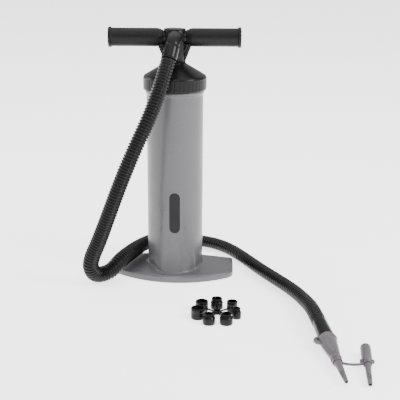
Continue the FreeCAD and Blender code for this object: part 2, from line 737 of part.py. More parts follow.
def web_ribs():
    """Slanting ribs on the webs' two faces, along their outer edge."""
    ribs = []
    slope = (WEB_TOP[0] - WEB_FOOT_X) / (WEB_TOP[1] - HUB_Z)
    for side in (-1, 1):
        for inset in (0.0, 4.0, 8.0):
            low = side * (WEB_FOOT_X - inset)
            high = side * (WEB_TOP[0] - inset)
            width = -side * 1.6
            z0 = HUB_Z
            if abs(high) < WEB_FOOT_X:
                continue
            corners = [V(low, -WEB_HALF_T - WEB_RIB, z0),
                       V(high, -WEB_HALF_T - WEB_RIB, z0 + (abs(high)
                         - abs(low)) / slope),
                       V(high + width, -WEB_HALF_T - WEB_RIB,
                         z0 + (abs(high) - abs(low)) / slope),
                       V(low + width, -WEB_HALF_T - WEB_RIB, z0)]
            face = Part.Face(Part.makePolygon(corners + corners[:1]))
            ribs.append(face.extrude(V(0, 2 * (WEB_HALF_T + WEB_RIB), 0)))
    return ribs


def make_grip(side):
    """A sleeve pushed on one arm, narrowing towards the hub."""
    inner = ARM_R + SNUG
    sleeve = turned_x([(side * GRIP_NECK[0], inner),
                       (side * GRIP_NECK[0], GRIP_NECK[1]),
                       (side * GRIP_FULL_X, GRIP_R),
                       (side * GRIP_END_X, GRIP_R),
                       (side * GRIP_END_X, inner)])
    sleeve.translate(V(0, 0, GRIP_Z))
    return sleeve


def make_end_cap(side):
    x0 = side * GRIP_END_X
    x1 = side * (GRIP_END_X + END_CAP_T)
    ease = side * 1.2
    plug = side * (GRIP_END_X - 14)
    cap = turned_x([(plug, 0), (plug, ARM_BORE_R - 0.6),
                    (x0, ARM_BORE_R - SNUG), (x0, END_CAP_R - 0.8),
                    (x0 + ease / 1.5, END_CAP_R), (x1 - ease, END_CAP_R),
                    (x1, END_CAP_R - 1.6), (x1, 0)])
    cap.translate(V(0, 0, GRIP_Z))
    return cap


def make_hub_lid():
    top = HUB_TOP + LID_T
    return turned([(0, HUB_TOP - 5), (CHAMBER_R - SNUG, HUB_TOP - 5),
                   (CHAMBER_R - SNUG, HUB_TOP), (HUB_R, HUB_TOP),
                   (HUB_R, top - 0.8), (HUB_R - 0.8, top), (0, top)])


def make_rod_pin():
    return bar(PIN_R, V(0, -HUB_R + 1, PIN_Z), V(0, HUB_R - 1, PIN_Z))


def make_rod_top_seal():
    return ring(ROD_R + 1.9, ROD_R + SNUG, SOCKET_TOP - 7.8,
                SOCKET_TOP - 5.2)


# ---------------------------------------------------------------- hose
def elbow_frame():
    """Bend start, bend centre, and where and how the hose end points."""
    swing = math.radians(ELBOW_SWING_DEG)
    turn = math.radians(ELBOW_TURN_DEG)
    down = V(-math.sin(swing), 0, -math.cos(swing))
    ahead = V(0, -1, 0)
    start = V(0, PORT_FACE_Y - 4.0, GRIP_Z)
    centre = start.add(down * ELBOW_BEND_R)
    end = start.add(ahead * (ELBOW_BEND_R * math.sin(turn)))
    end = end.add(down * (ELBOW_BEND_R * (1 - math.cos(turn))))
    way = (ahead * math.cos(turn)).add(down * math.sin(turn))
    return start, centre, ahead.cross(down), end, way


def make_elbow():
    start, centre, axis, end, way = elbow_frame()

    def bent(r):
        disc = Part.Face(Part.Wire(Part.makeCircle(r, start, V(0, -1, 0))))
        return disc.revolve(centre, axis, ELBOW_TURN_DEG)

    body = bent(ELBOW_R).fuse(bar(PORT_R - 0.5, V(0, PORT_FACE_Y - 0.2,
                                                  GRIP_Z), start))
    body = body.fuse(bar(PORT_BORE_R - SNUG, V(0, -14, GRIP_Z), start))
    body = body.fuse(bar(STUB_R, end, end.add(way * ELBOW_STUB)))
    body = body.cut(bent(ELBOW_BORE_R))
    body = body.cut(bar(ELBOW_BORE_R, V(0, 0, GRIP_Z), start))
    body = body.cut(bar(ELBOW_BORE_R, end, end.add(way * 40)))
    groove = ring(PORT_BORE_R + 1, PORT_BORE_R - 0.9, 0, 2.2)
    groove.rotate(V(0, 0, 0), V(1, 0, 0), 90)
    groove.translate(V(0, -22, GRIP_Z))
    return body.cut(groove).removeSplitter()


def make_elbow_seal():
    seal = ring(PORT_BORE_R - SNUG / 2, PORT_BORE_R - 0.85, 0.1, 2.1)
    seal.rotate(V(0, 0, 0), V(1, 0, 0), 90)
    seal.translate(V(0, -22, GRIP_Z))
    return seal


def make_hose_cuff():
    """Smooth moulded end of the hose on the elbow's stub."""
    start, centre, axis, end, way = elbow_frame()
    length = Part.makeCone(ELBOW_R, CUFF_R, 6, end, way)
    length = length.fuse(bar(CUFF_R, end.add(way * 6),
                             end.add(way * CUFF_L)))
    length = length.cut(bar(STUB_R + SNUG, end.sub(way * 2),
                            end.add(way * ELBOW_STUB)))
    length = length.cut(bar(ELBOW_BORE_R + 2, end,
                            end.add(way * (CUFF_L + 1))))
    return length.removeSplitter()


def hose_points():
    """The hose's route, from the handle down and round to the nozzle."""
    end, way = elbow_frame()[3:]
    first = end.add(way * (CUFF_L + BODY_GAP))
    place = nozzle_frame()
    last = place.multVec(V(-END_CUFF_L, 0, 0))
    before_last = place.multVec(V(-END_CUFF_L - 40, 0, 0))
    chosen = [first.add(way * 45), V(-40, -104, 335), V(-70, -116, 272),
              V(-98, -116, 205), V(-122, -112, 140), V(-142, -106, 88),
              V(-152, -103, 66), V(-158, -100, 46), V(-154, -94, 30.5),
              V(-147, -84, 19), V(-139, -73, 16), V(-127, -58, 24),
              V(-113, -28, 50), V(-98, 8, 60), V(-80, 52, 60),
              V(-54, 92, 42), V(-12, 122, 20), V(44, 131, 15),
              V(92, 113, 15), V(126, 68, 15), V(151, 12, 15),
              V(174, -40, 15), V(198, -90, 15), V(220, -138, 15),
              V(238, -192, 16)]
    return [first] + chosen + [before_last, last]


def rounded_path(points):
    """Straight runs joined by tangent arcs, as one wire."""
    edges = []
    radii = []
    at = points[0]
    for before, corner, after in zip(points, points[1:], points[2:]):
        back = before.sub(corner)
        onward = after.sub(corner)
        turn = math.pi - back.getAngle(onward)
        setback = 0.45 * min(back.Length, onward.Length)
        radii.append((setback / math.tan(turn / 2), math.degrees(turn)))
        back.normalize()
        onward.normalize()
        enter = corner.add(back * setback)
        leave = corner.add(onward * setback)
        to_centre = back.add(onward)
        to_centre.normalize()
        half_open = (math.pi - turn) / 2
        centre_away = setback / math.cos(half_open)
        radius = setback * math.tan(half_open)
        middle = corner.add(to_centre * (centre_away - radius))
        edges.append(Part.LineSegment(at, enter).toShape())
        edges.append(Part.Arc(enter, middle, leave).toShape())
        at = leave
    edges.append(Part.LineSegment(at, points[-1]).toShape())
    return Part.Wire(edges), radii


def make_hose():
    points = hose_points()
    path, radii = rounded_path(points)
    way = points[1].sub(points[0])
    outer = Part.Wire(Part.makeCircle(HOSE_R, points[0], way))
    inner = Part.Wire(Part.makeCircle(HOSE_R - HOSE_WALL, points[0], way))
    tube = path.makePipeShell([outer], True, False)
    hole = path.makePipeShell([inner], True, False)
    tube = tube.cut(hole)
    section = math.pi * (HOSE_R ** 2 - (HOSE_R - HOSE_WALL) ** 2)
    print("hose length %.0f, volume / (section x length) %.4f"
          % (path.Length, tube.Volume / (section * path.Length)))
    for (radius, turn), run in zip(radii, zip(points, points[1:])):
        print("  run %.0f, turn %.0f deg, radius %.0f"
              % (run[1].sub(run[0]).Length, turn, radius))
    return tube


# ---------------------------------------------------------------- nozzle
def nozzle_frame():
    return frame_at(NOZZLE_AT, NOZZLE_HEADING_DEG, NOZZLE_TILT_DEG)


def spare_frame():
    return frame_at(SPARE_AT, SPARE_HEADING_DEG, SPARE_TILT_DEG)


def make_end_cuff():
    r0, r1 = END_CUFF_R
    cuff = turned_x([(-END_CUFF_L, NOZZLE_TAIL_R + SNUG),
                     (-END_CUFF_L, r0), (-8, r1), (-0.1, r1),
                     (-0.1, NOZZLE_TAIL_R + SNUG)])
    return placed(cuff, nozzle_frame())


def make_nozzle():
    ring0, ring1, ring_r = NOZZLE_RING
    land0, land1, land_r = NOZZLE_LAND
    collar = NOZZLE_COLLAR_R
    body = turned_x([(-NOZZLE_TAIL_L, 0), (-NOZZLE_TAIL_L, NOZZLE_TAIL_R),
                     (0, NOZZLE_TAIL_R), (0, collar - 1.0), (1.0, collar),
                     (NOZZLE_COLLAR_L, collar), (NOZZLE_COLLAR_L + 1.5,
                                                 collar - 2.0),
                     (30, 11.6), (ring0, ring_r - 1.4),
                     (ring0, ring_r), (ring1, ring_r), (land0, land_r),
                     (land1, land_r), (land1 + 1, land_r - 0.4),
                     (NOZZLE_L, NOZZLE_TIP_R), (NOZZLE_L, 0)])
    for angle in (0, 90, 180, 270):
        flat = box(14, 52, -5.5, 5.5, 10.6, 20)
        flat.rotate(V(0, 0, 0), V(0, 1, 0), 5.5)
        flat.rotate(V(0, 0, 0), V(1, 0, 0), angle + 45)
        body = body.cut(flat)
    eye = Part.makeCylinder(EYE_R, 3.0, V(3.0, -EYE_AT, 0), V(1, 0, 0))
    body = body.fuse(eye)
    body = body.cut(Part.makeCylinder(EYE_HOLE_R, NOZZLE_COLLAR_L + 8,
                                      V(-1, -EYE_AT, 0), V(1, 0, 0)))
    bore = turned_x([(-NOZZLE_TAIL_L - 1, 0),
                     (-NOZZLE_TAIL_L - 1, NOZZLE_BORE[0]),
                     (20, NOZZLE_BORE[0]), (land0, 3.6),
                     (NOZZLE_L + 1, NOZZLE_BORE[1]), (NOZZLE_L + 1, 0)])
    body = body.cut(bore)
    window = box(0, 40, -12, 0, -10, 10)
    window.rotate(V(0, 0, 0), UP, -10.0)
    window.translate(V(NOZZLE_L - 24, -2.0, 0))
    body = body.cut(window)
    return placed(body.removeSplitter(), nozzle_frame())


def make_spare_nozzle():
    body_l, body_r = SPARE_BODY
    r0, r1 = SPARE_SPOUT_R
    body = turned_x([(0, 5.6), (0, body_r - 0.6), (0.6, body_r),
                     (body_l, body_r - 0.5), (body_l + SPARE_STEP_L, r0),
                     (SPARE_L, r1), (SPARE_L, r1 - 1.1), (body_l + 2, 2.8),
                     (body_l - 8, 5.6)])
    ear_x = body_l - SPARE_EAR_BEHIND
    ears = box(ear_x, ear_x + SPARE_EAR_L, -SPARE_EAR, SPARE_EAR,
               -SPARE_EAR_T / 2, SPARE_EAR_T / 2)
    ears = ears.cut(turned_x([(0, 0), (0, 5.8), (body_l + 10, 5.8),
                              (body_l + 10, 0)]))
    body = body.fuse(ears)
    window = box(0, 30, -8, 8, 0, 8)
    window.rotate(V(0, 0, 0), V(0, 1, 0), 12.0)
    window.translate(V(SPARE_L - 16, 0, 2.2))
    return placed(body.cut(window).removeSplitter(), spare_frame())


def make_strap():
    """Loop on the nozzle's land, bowed strap, loop on the spare."""
    land0, land1, land_r = NOZZLE_LAND
    mid = (land0 + land1) / 2
    inner = land_r + RUNNING + SNUG
    loop = turned_x([(mid - LOOP_L / 2, inner),
                     (mid - LOOP_L / 2, inner + LOOP_WALL),
                     (mid + LOOP_L / 2, inner + LOOP_WALL),
                     (mid + LOOP_L / 2, inner)])
    loop = placed(loop, nozzle_frame())
    spare_mid = SPARE_BODY[0] + SPARE_STEP_L + SPARE_LOOP_GAP + LOOP_L / 2
    spare_r = SPARE_SPOUT_R[0] + SNUG
    other = turned_x([(spare_mid - LOOP_L / 2, spare_r),
                      (spare_mid - LOOP_L / 2, spare_r + SPARE_LOOP_WALL),
                      (spare_mid + LOOP_L / 2, spare_r + SPARE_LOOP_WALL),
                      (spare_mid + LOOP_L / 2, spare_r)])
    other = placed(other, spare_frame())
    start = nozzle_frame().multVec(V(mid, inner + LOOP_WALL / 2, 0))
    stop = spare_frame().multVec(V(spare_mid,
                                   -spare_r - SPARE_LOOP_WALL / 2, 0))
    low = (start.z + stop.z - STRAP_H) / 2
    start.z = 0
    stop.z = 0
    bow = start.add(stop) * 0.5
    bow = bow.add(V(0, -STRAP_BOW, 0))
    arcs = []
    for half in (-STRAP_T / 2, STRAP_T / 2):
        arcs.append(Part.Arc(start.add(V(0, half, 0)),
                             bow.add(V(0, half, 0)),
                             stop.add(V(0, half, 0))).toShape())
    ends = [Part.LineSegment(arcs[0].Vertexes[-1].Point,
                             arcs[1].Vertexes[-1].Point).toShape(),
            Part.LineSegment(arcs[1].Vertexes[0].Point,
                             arcs[0].Vertexes[0].Point).toShape()]
    outline = Part.Wire(Part.__sortEdges__(arcs + ends))
    strap = Part.Face(outline).extrude(V(0, 0, STRAP_H))
    strap.translate(V(0, 0, low))
    keep_out = turned_x([(mid - STRAP_TRIM_L, 0),
                         (mid - STRAP_TRIM_L, inner),
                         (mid + STRAP_TRIM_L, inner),
                         (mid + STRAP_TRIM_L, 0)])
    strap = strap.cut(placed(keep_out, nozzle_frame()))
    spare_out = turned_x([(spare_mid - LOOP_L, 0),
                          (spare_mid - LOOP_L, spare_r),
                          (spare_mid + LOOP_L, spare_r),
                          (spare_mid + LOOP_L, 0)])
    strap = strap.cut(placed(spare_out, spare_frame()))
    return fuse_all(strap, [loop, other])


# ---------------------------------------------------------------- adapters
def adapter_place(i):
    angle = math.radians(ADAPTER_FIRST_DEG + i * 360.0 / N_ADAPTERS)
    return (ADAPTER_AT[0] + ADAPTER_RING_R * math.cos(angle),
            ADAPTER_AT[1] + ADAPTER_RING_R * math.sin(angle))


def make_adapter(i):
    """A cup open at the top, with a small air hole in its floor."""
    x, y = adapter_place(i)
    outer, neck, bore = ADAPTERS[i]
    step = ADAPTER_H - ADAPTER_NECK_H
    cup = turned([(bore - ADAPTER_FLOOR_HOLE_IN, 0), (outer - 0.8, 0), (outer, 0.8),
                  (outer, step), (neck, step + 0.01 + (outer - neck) * 0.6),
                  (neck, ADAPTER_H - 0.6), (neck - 0.6, ADAPTER_H),
                  (bore, ADAPTER_H), (bore, ADAPTER_FLOOR),
                  (bore - ADAPTER_FLOOR_HOLE_IN, ADAPTER_FLOOR)])
    cup.translate(V(x, y, 0))
    return cup


def make_runner():
    """The small hub and thin arms that carry the adapters."""
    x, y = ADAPTER_AT
    hub = cyl(RUNNER_R, RUNNER_Z[0], RUNNER_Z[1], x, y)
    hub = hub.cut(cyl(RUNNER_R - 2.2, RUNNER_Z[1] - 2, RUNNER_Z[1] + 1,
                      x, y))
    arm_z = (RUNNER_Z[0] + 0.8, RUNNER_Z[0] + 3.2)
    arms = []
    for i in range(N_ADAPTERS):
        arm = box(RUNNER_R - 2, ADAPTER_RING_R, -RUNNER_ARM_W / 2,
                  RUNNER_ARM_W / 2, *arm_z)
        arm.rotate(V(0, 0, 0), UP,
                   ADAPTER_FIRST_DEG + i * 360.0 / N_ADAPTERS)
        arm.translate(V(x, y, 0))
        cx, cy = adapter_place(i)
        arms.append(arm.cut(cyl(ADAPTERS[i][0], -1, 40, cx, cy)))
    return fuse_all(hub, arms)


# ---------------------------------------------------------------- write
def build():
    parts = {
        "barrel": make_barrel(),
        "label": make_label(),
        "base_plate": make_base_plate(),
        "base_seal": make_base_seal(),
        "base_lock_ring": make_lock_ring(),
        "base_valve_stud": make_base_stud(),
        "base_flap": flap(BASE_FLAP_R, STUD_R + SLIDE, BASE_SEAT_Z + SEAT),
        "top_plate": make_top_plate(),
        "cap_seal": make_cap_seal(),
        "rod_bush": make_rod_bush(),
        "rod_wiper": make_rod_wiper(),
        "cap_flap_ring": make_top_ring(),
        "cap_flap": flap(TOP_FLAP_R, BOSS_R + SLIDE,
                         PLATE_Z - SEAT - FLAP_T),
        "cap": make_cap(),
        "piston_base": make_piston_base(),
        "piston_cover": make_piston_cover(),
        "piston_seal_lower": make_piston_seal(PISTON_Z),
        "piston_seal_upper": make_piston_seal(COVER_Z),
        "piston_flap_lower": flap(PISTON_FLAP_R, ROD_SEAT_R + SLIDE,
                                  CORE_Z + SEAT),
        "piston_flap_upper": flap(PISTON_FLAP_R, ROD_R + SLIDE,
                                  COVER_Z - SEAT - FLAP_T),
        "piston_screws": make_piston_screws(),
        "piston_bolt": make_piston_bolt(),
        "valve_spacer": make_valve_spacer(),
        "rod_plug": make_rod_plug(),
        "piston_rod": make_rod(),
        "rod_pin": make_rod_pin(),
        "rod_top_seal": make_rod_top_seal(),
        "handle_tee": make_tee(),
        "hub_lid": make_hub_lid(),
        "grip_left": make_grip(-1),
        "grip_right": make_grip(1),
        "end_cap_left": make_end_cap(-1),
        "end_cap_right": make_end_cap(1),
        "hose_elbow": make_elbow(),
        "elbow_seal": make_elbow_seal(),
        "hose_cuff": make_hose_cuff(),
        "hose": make_hose(),
        "nozzle_cuff": make_end_cuff(),
        "nozzle": make_nozzle(),
        "nozzle_strap": make_strap(),
        "spare_nozzle": make_spare_nozzle(),
        "adapter_runner": make_runner(),
    }
    for i in range(N_ADAPTERS):
        parts["adapter_cup_%d" % (i + 1)] = make_adapter(i)
    return parts


os.makedirs("parts", exist_ok=True)
for name, shape in build().items():
    shape.exportStep("parts/" + name + ".step")
    print("%-18s solids %d valid %s volume %.1f cm3"
          % (name, len(shape.Solids), shape.isValid(), shape.Volume / 1000))
print("stroke %.1f" % PISTON_STROKE)
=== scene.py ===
# %% [markdown]
# # A double-action hand pump
# The pump is a grey moulded barrel on a foot with two wings, a black screw
# cap, a T-handle, a corrugated hose with a nozzle, and a star of valve
# adapters.  Its solids come packed as a frame.  This file gives each visible
# piece its finished surface, its material, and the light it is seen in.

# %% Load the frame
import json
import math

import bmesh
import bpy
import numpy as np
from mathutils import Matrix, Vector


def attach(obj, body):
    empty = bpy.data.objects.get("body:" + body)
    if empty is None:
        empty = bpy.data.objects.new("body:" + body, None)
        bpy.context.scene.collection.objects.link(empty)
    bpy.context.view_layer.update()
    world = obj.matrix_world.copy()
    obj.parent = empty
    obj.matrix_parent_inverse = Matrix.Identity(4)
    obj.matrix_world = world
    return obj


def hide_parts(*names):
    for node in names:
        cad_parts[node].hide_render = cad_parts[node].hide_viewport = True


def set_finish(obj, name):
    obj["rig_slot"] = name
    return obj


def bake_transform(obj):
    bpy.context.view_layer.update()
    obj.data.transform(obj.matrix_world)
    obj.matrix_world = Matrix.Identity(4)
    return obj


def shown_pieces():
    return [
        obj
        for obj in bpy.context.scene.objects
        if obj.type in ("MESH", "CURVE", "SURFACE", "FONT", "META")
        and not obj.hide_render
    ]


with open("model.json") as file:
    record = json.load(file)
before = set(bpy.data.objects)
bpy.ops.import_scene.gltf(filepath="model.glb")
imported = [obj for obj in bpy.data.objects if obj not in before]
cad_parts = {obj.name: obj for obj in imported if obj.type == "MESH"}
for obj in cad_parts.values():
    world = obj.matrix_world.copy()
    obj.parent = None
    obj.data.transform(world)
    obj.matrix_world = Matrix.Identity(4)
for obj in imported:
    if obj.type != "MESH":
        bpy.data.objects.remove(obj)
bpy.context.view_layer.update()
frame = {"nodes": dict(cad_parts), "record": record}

MM = 0.001

# %% [markdown]
# ## The camera
# A camera a metre and a half away, a little above the handle, with a short
# telephoto lens, keeps the barrel's sides almost upright.  It is aimed by
# its own pitch and roll, because the object isn't in the frame's middle.

# %% Camera
CAMERA_AT = (46.06, -1550.8, 609.9)
CAMERA_PITCH = 16.70
CAMERA_YAW = -0.105
CAMERA_ROLL = 0.39
LENS_MM = 73.94
SENSOR_MM = 36.0

camera = bpy.data.objects.new("camera", bpy.data.cameras.new("camera"))
camera.data.lens = LENS_MM
camera.data.sensor_width = SENSOR_MM
camera.location = [c * MM for c in CAMERA_AT]
pitch, yaw, roll = np.radians([CAMERA_PITCH, CAMERA_YAW, CAMERA_ROLL])
ahead = np.array([-math.sin(yaw) * math.cos(pitch),
                  math.cos(yaw) * math.cos(pitch), -math.sin(pitch)])
level = np.array([math.cos(yaw), math.sin(yaw), 0.0])
above = np.cross(level, ahead)
right = level * math.cos(roll) + above * math.sin(roll)
above = np.cross(right, ahead)
axes = np.column_stack([right, above, -ahead])
camera.matrix_world = (Matrix.Translation(camera.location)
                       @ Matrix(axes.tolist()).to_4x4())
bpy.context.scene.collection.objects.link(camera)
bpy.context.scene.camera = camera
print("camera at", [round(c, 3) for c in camera.location])

# %% [markdown]
# ## Grids and turned shapes
# Every new surface is a grid of points worked out with numpy.  A turned
# piece is a profile of (distance along, radius) pairs carried round an axis;
# a grid can close on itself in either direction.  Points that fall together,
# as at a pole, are merged, and the faces are then turned outwards.

# %% Mesh helpers


def surface(name, points, wrap_rows=False, wrap_columns=True, smooth=True):
    """A mesh from a rows x columns x 3 array of points in millimetres.

    Face (i, j) joins the points (i, j), (i, j+1), (i+1, j+1), (i+1, j), with
    the indices wrapping where the grid closes.
    """
    rows, columns = points.shape[:2]
    i = np.arange(rows if wrap_rows else rows - 1)[:, None]
    j = np.arange(columns if wrap_columns else columns - 1)[None, :]
    below = (i + 1) % rows
    beside = (j + 1) % columns
    quads = np.stack([i * columns + j, i * columns + beside,
                      below * columns + beside, below * columns + j], -1)
    mesh = bpy.data.meshes.new(name)
    mesh.from_pydata((points.reshape(-1, 3) * MM).tolist(), [],
                     quads.reshape(-1, 4).tolist())
    work = bmesh.new()
    work.from_mesh(mesh)
    bmesh.ops.remove_doubles(work, verts=work.verts, dist=2e-6)
    bmesh.ops.recalc_face_normals(work, faces=work.faces)
    work.to_mesh(mesh)
    work.free()
    mesh.shade_smooth() if smooth else mesh.shade_flat()
    piece = bpy.data.objects.new(name, mesh)
    bpy.context.scene.collection.objects.link(piece)
    return piece


def axis_frame(along, roughly_up=(0, 0, 1)):
    """Three unit vectors: along, a side, and the one square to both."""
    along = np.array(along, float) / np.linalg.norm(along)
    side = np.cross(roughly_up, along)
    side = side / np.linalg.norm(side)
    return along, side, np.cross(along, side)


def turned(name, profile, at=(0, 0, 0), along=(0, 0, 1), up=(0, 1, 0),
           steps=96, ring=False, shape=None):
    """A profile of (along, radius) pairs carried round an axis.

    A point is at + along*a + r*(side*cos t + top*sin t), for t round the
    circle.  shape(a, t, r) may return a radius that changes with t.
    """
    along, side, top = axis_frame(along, up)
    a, r = np.array(profile, float).T
    t = np.linspace(0, 2 * np.pi, steps, endpoint=False)[None, :]
    a = np.repeat(a[:, None], steps, 1)
    r = np.repeat(r[:, None], steps, 1)
    if shape is not None:
        r = shape(a, t, r)
    points = (np.array(at) + a[..., None] * along
              + (r * np.cos(t))[..., None] * side
              + (r * np.sin(t))[..., None] * top)
    return surface(name, points, wrap_rows=ring)


def count(piece):
    """Says how many faces a piece has."""
    print(piece.name, len(piece.data.polygons), "faces")


# %% [markdown]
# ## The hose's line
# A corrugated hose is stiff enough to hang in one long curve from the
# handle, fold once where it meets the ground, and lie in a wide loop behind
# the pump.  Its line is a NURBS spline through the same points as the
# solid's route, so it has no kinks; the rings are then set along it.

# %% Hose route
GRIP_Z = 460.5
ELBOW_SWING, ELBOW_TURN = np.radians([16.0, 65.0])
ELBOW_BEND_R = 18.0
CUFF_L = 26.3
NOZZLE_AT = np.array([254.5, -347.0, 16.4])
SPARE_AT = np.array([313.0, -366.0, 11.0])


def heading_frame(heading_deg, tilt_deg):
    """Along, side and top of a piece that lies on the floor, nose down."""
    heading, tilt = np.radians([heading_deg, tilt_deg])
    along = np.array([math.cos(heading) * math.cos(tilt),
                      math.sin(heading) * math.cos(tilt), -math.sin(tilt)])
    side = np.array([-math.sin(heading), math.cos(heading), 0.0])
    return along, side, np.cross(along, side)


nozzle_way, nozzle_side, nozzle_top = heading_frame(-85.2, 3.5)
spare_way, spare_side, _ = heading_frame(-97.0, 2.5)
elbow_down = np.array([-math.sin(ELBOW_SWING), 0, -math.cos(ELBOW_SWING)])
elbow_ahead = np.array([0, -1.0, 0])
elbow_start = np.array([0, -35.0, GRIP_Z])
elbow_end = (elbow_start + elbow_ahead * ELBOW_BEND_R * math.sin(ELBOW_TURN)
             + elbow_down * ELBOW_BEND_R * (1 - math.cos(ELBOW_TURN)))
elbow_way = (elbow_ahead * math.cos(ELBOW_TURN)
             + elbow_down * math.sin(ELBOW_TURN))
hose_start = elbow_end + elbow_way * CUFF_L
route = [hose_start, hose_start + elbow_way * 45, (-40, -104, 335),
         (-70, -116, 272), (-98, -116, 205), (-122, -112, 140),
         (-142, -106, 88), (-152, -103, 66), (-158, -100, 46),
         (-155, -93, 29), (-149, -82, 18.5), (-138, -72, 15.5),
         (-122, -62, 19), (-106, -42, 34), (-89, -4, 36), (-72, 40, 35),
         (-48, 92, 30), (-6, 126, 18), (46, 130, 15), (86, 108, 15),
         (117, 70, 15), (144, 15, 15), (168, -38, 15), (194, -88, 15),
         (220, -138, 15), (238, -192, 16), NOZZLE_AT - nozzle_way * 96,
         NOZZLE_AT - nozzle_way * 2]

curve = bpy.data.curves.new("hose_route", "CURVE")
curve.dimensions = "3D"
curve.resolution_u = 24
spline = curve.splines.new("NURBS")
spline.points.add(len(route) - 1)
weights = np.ones((len(route), 4))
weights[:, :3] = np.array(route) * MM
spline.points.foreach_set("co", weights.ravel())
spline.order_u = 3
spline.use_endpoint_u = True
route_piece = bpy.data.objects.new("hose_route", curve)
bpy.context.scene.collection.objects.link(route_piece)
bpy.context.view_layer.update()
line_mesh = bpy.data.meshes.new_from_object(route_piece)
hose_line = np.empty(len(line_mesh.vertices) * 3)
line_mesh.vertices.foreach_get("co", hose_line)
hose_line = hose_line.reshape(-1, 3) / MM
bpy.data.objects.remove(route_piece)
bpy.data.meshes.remove(line_mesh)
steps = np.linalg.norm(np.diff(hose_line, axis=0), axis=1)
hose_line = hose_line[np.r_[True, steps > 1e-6]]
along_line = np.r_[0, np.cumsum(
    np.linalg.norm(np.diff(hose_line, axis=0), axis=1))]
HOSE_LENGTH = along_line[-1]
print("hose line %.0f mm, %d points" % (HOSE_LENGTH, len(hose_line)))

# %% [markdown]
# ## The corrugated hose
# Blow-moulded polyethylene hose has a ring every five or six millimetres.
# Where it is bent hard or hangs slack the rings close up and it is thicker;
# where it is pulled straight they open and it looks nearly smooth.  So the
# rings' spacing, height and radius all change along the length.

# %% Hose
PITCH_CLOSED = 5.3
PITCH_OPEN = 6.6
ROWS_PER_RING = 8
HOSE_SIDES = 36

# where along the hose (mm), and there: outer radius, ring depth
HOSE_AT = [0, 60, 300, 430, 560, 640, 760, 900, 1100, 1260]
HOSE_RADIUS = [13.9, 14.2, 14.4, 15.4, 15.8, 14.2, 12.6, 12.3, 12.4, 12.9]
RING_DEPTH = [1.8, 2.3, 2.3, 2.2, 2.0, 1.5, 0.9, 0.9, 1.0, 1.0]
CUFF_INSIDE = 52.0
INSIDE_CUFF_R = 10.0
HOSE_WALL = 1.6


def line_at(s):
    """Points of the hose's line at the distances s along it."""
    return np.stack([np.interp(s, along_line, hose_line[:, k])
                     for k in range(3)], -1)


def tube_points(s, radius, sides):
    """Rings of the given radii round the line, square to it.

    The ring's two axes come from the line's direction and one fixed
    direction that the line is never near, so it never twists sharply.
    """
    way = line_at(s + 0.5) - line_at(s - 0.5)
    way = way / np.linalg.norm(way, axis=1, keepdims=True)
    fixed = np.array([-0.6, 0.0, 0.8])
    side = np.cross(fixed, way)
    side = side / np.linalg.norm(side, axis=1, keepdims=True)
    top = np.cross(way, side)
    t = np.linspace(0, 2 * np.pi, sides, endpoint=False)[None, :, None]
    return (line_at(s)[:, None] + radius[:, None, None]
            * (side[:, None] * np.cos(t) + top[:, None] * np.sin(t)))


fine = np.linspace(0, HOSE_LENGTH, 6000)
openness = np.clip((15.0 - np.interp(fine, HOSE_AT, HOSE_RADIUS)) / 2.5, 0, 1)
pitch = PITCH_CLOSED + (PITCH_OPEN - PITCH_CLOSED) * openness
phase_at = np.r_[0, np.cumsum(np.diff(fine) / pitch[1:])]
rings = int(phase_at[-1])
phase = np.linspace(0, rings, rings * ROWS_PER_RING + 1)
s = np.interp(phase, phase_at * rings / phase_at[-1], fine)
valley = (0.5 + 0.5 * np.cos(2 * np.pi * phase)) ** 1.6
radius = (np.interp(s, HOSE_AT, HOSE_RADIUS)
          - np.interp(s, HOSE_AT, RING_DEPTH) * valley)
radius = np.where(s > HOSE_LENGTH - CUFF_INSIDE, INSIDE_CUFF_R, radius)
outside = tube_points(s, radius, HOSE_SIDES)
inside_end = tube_points(np.array([HOSE_LENGTH - 6, HOSE_LENGTH - 12]),
                         np.array([radius[-1] - HOSE_WALL, 0.01]), HOSE_SIDES)
inside_start = tube_points(np.array([12.0, 6.0]),
                           np.array([0.01, radius[0] - HOSE_WALL]), HOSE_SIDES)
hose = surface("corrugated_hose",
               np.concatenate([inside_start, outside, inside_end]))
print("hose: %d rings" % rings)
count(hose)

# %% [markdown]
# ## Barrel and foot
# The barrel, the foot and the apron between them are one injection
# moulding, so there are no seams: the barrel's wall runs down into a small
# fillet, the fillet into the sloping deck, and the deck over a rounded edge
# into the skirt.  One grid does all of it.  Its columns are directions round
# the barrel and its rows run down that whole section, under the foot and
# back up the bore.

# %% Sizes of the moulding
BARREL_R = 54.0
BORE_R = 51.4
BARREL_TOP = 378.0
APRON_TURN = 4.0
FOOT_TURN = -5.0
APRON_Z = [3, 14, 30, 50, 78, 110, 140, 168, 186]
APRON_HALF = [36, 40, 45, 46, 41, 30, 21, 13, 4]
APRON_OUT = [20, 18, 11.5, 7, 4, 2.2, 1.0, 0.3, -1.0]
DECK_Z = 17.0
DECK_FALL = 6.0 / 64.0


def smooth_max(a, b, k):
    """The larger of two values, with the change between them eased by k."""
    h = np.clip(0.5 + 0.5 * (a - b) / k, 0, 1)
    return a * h + b * (1 - h) + k * h * (1 - h)


def smooth_step(x):
    """Nought below 0, one above 1, with a smooth S between."""
    x = np.clip(x, 0, 1)
    return x * x * (3 - 2 * x)


def table(z, at, values):
    """Values read from a table at z, eased by averaging close by."""
    spread = np.array([-9, -6, -3, 0, 3, 6, 9])
    return np.mean([np.interp(z + d, at, values) for d in spread], axis=0)


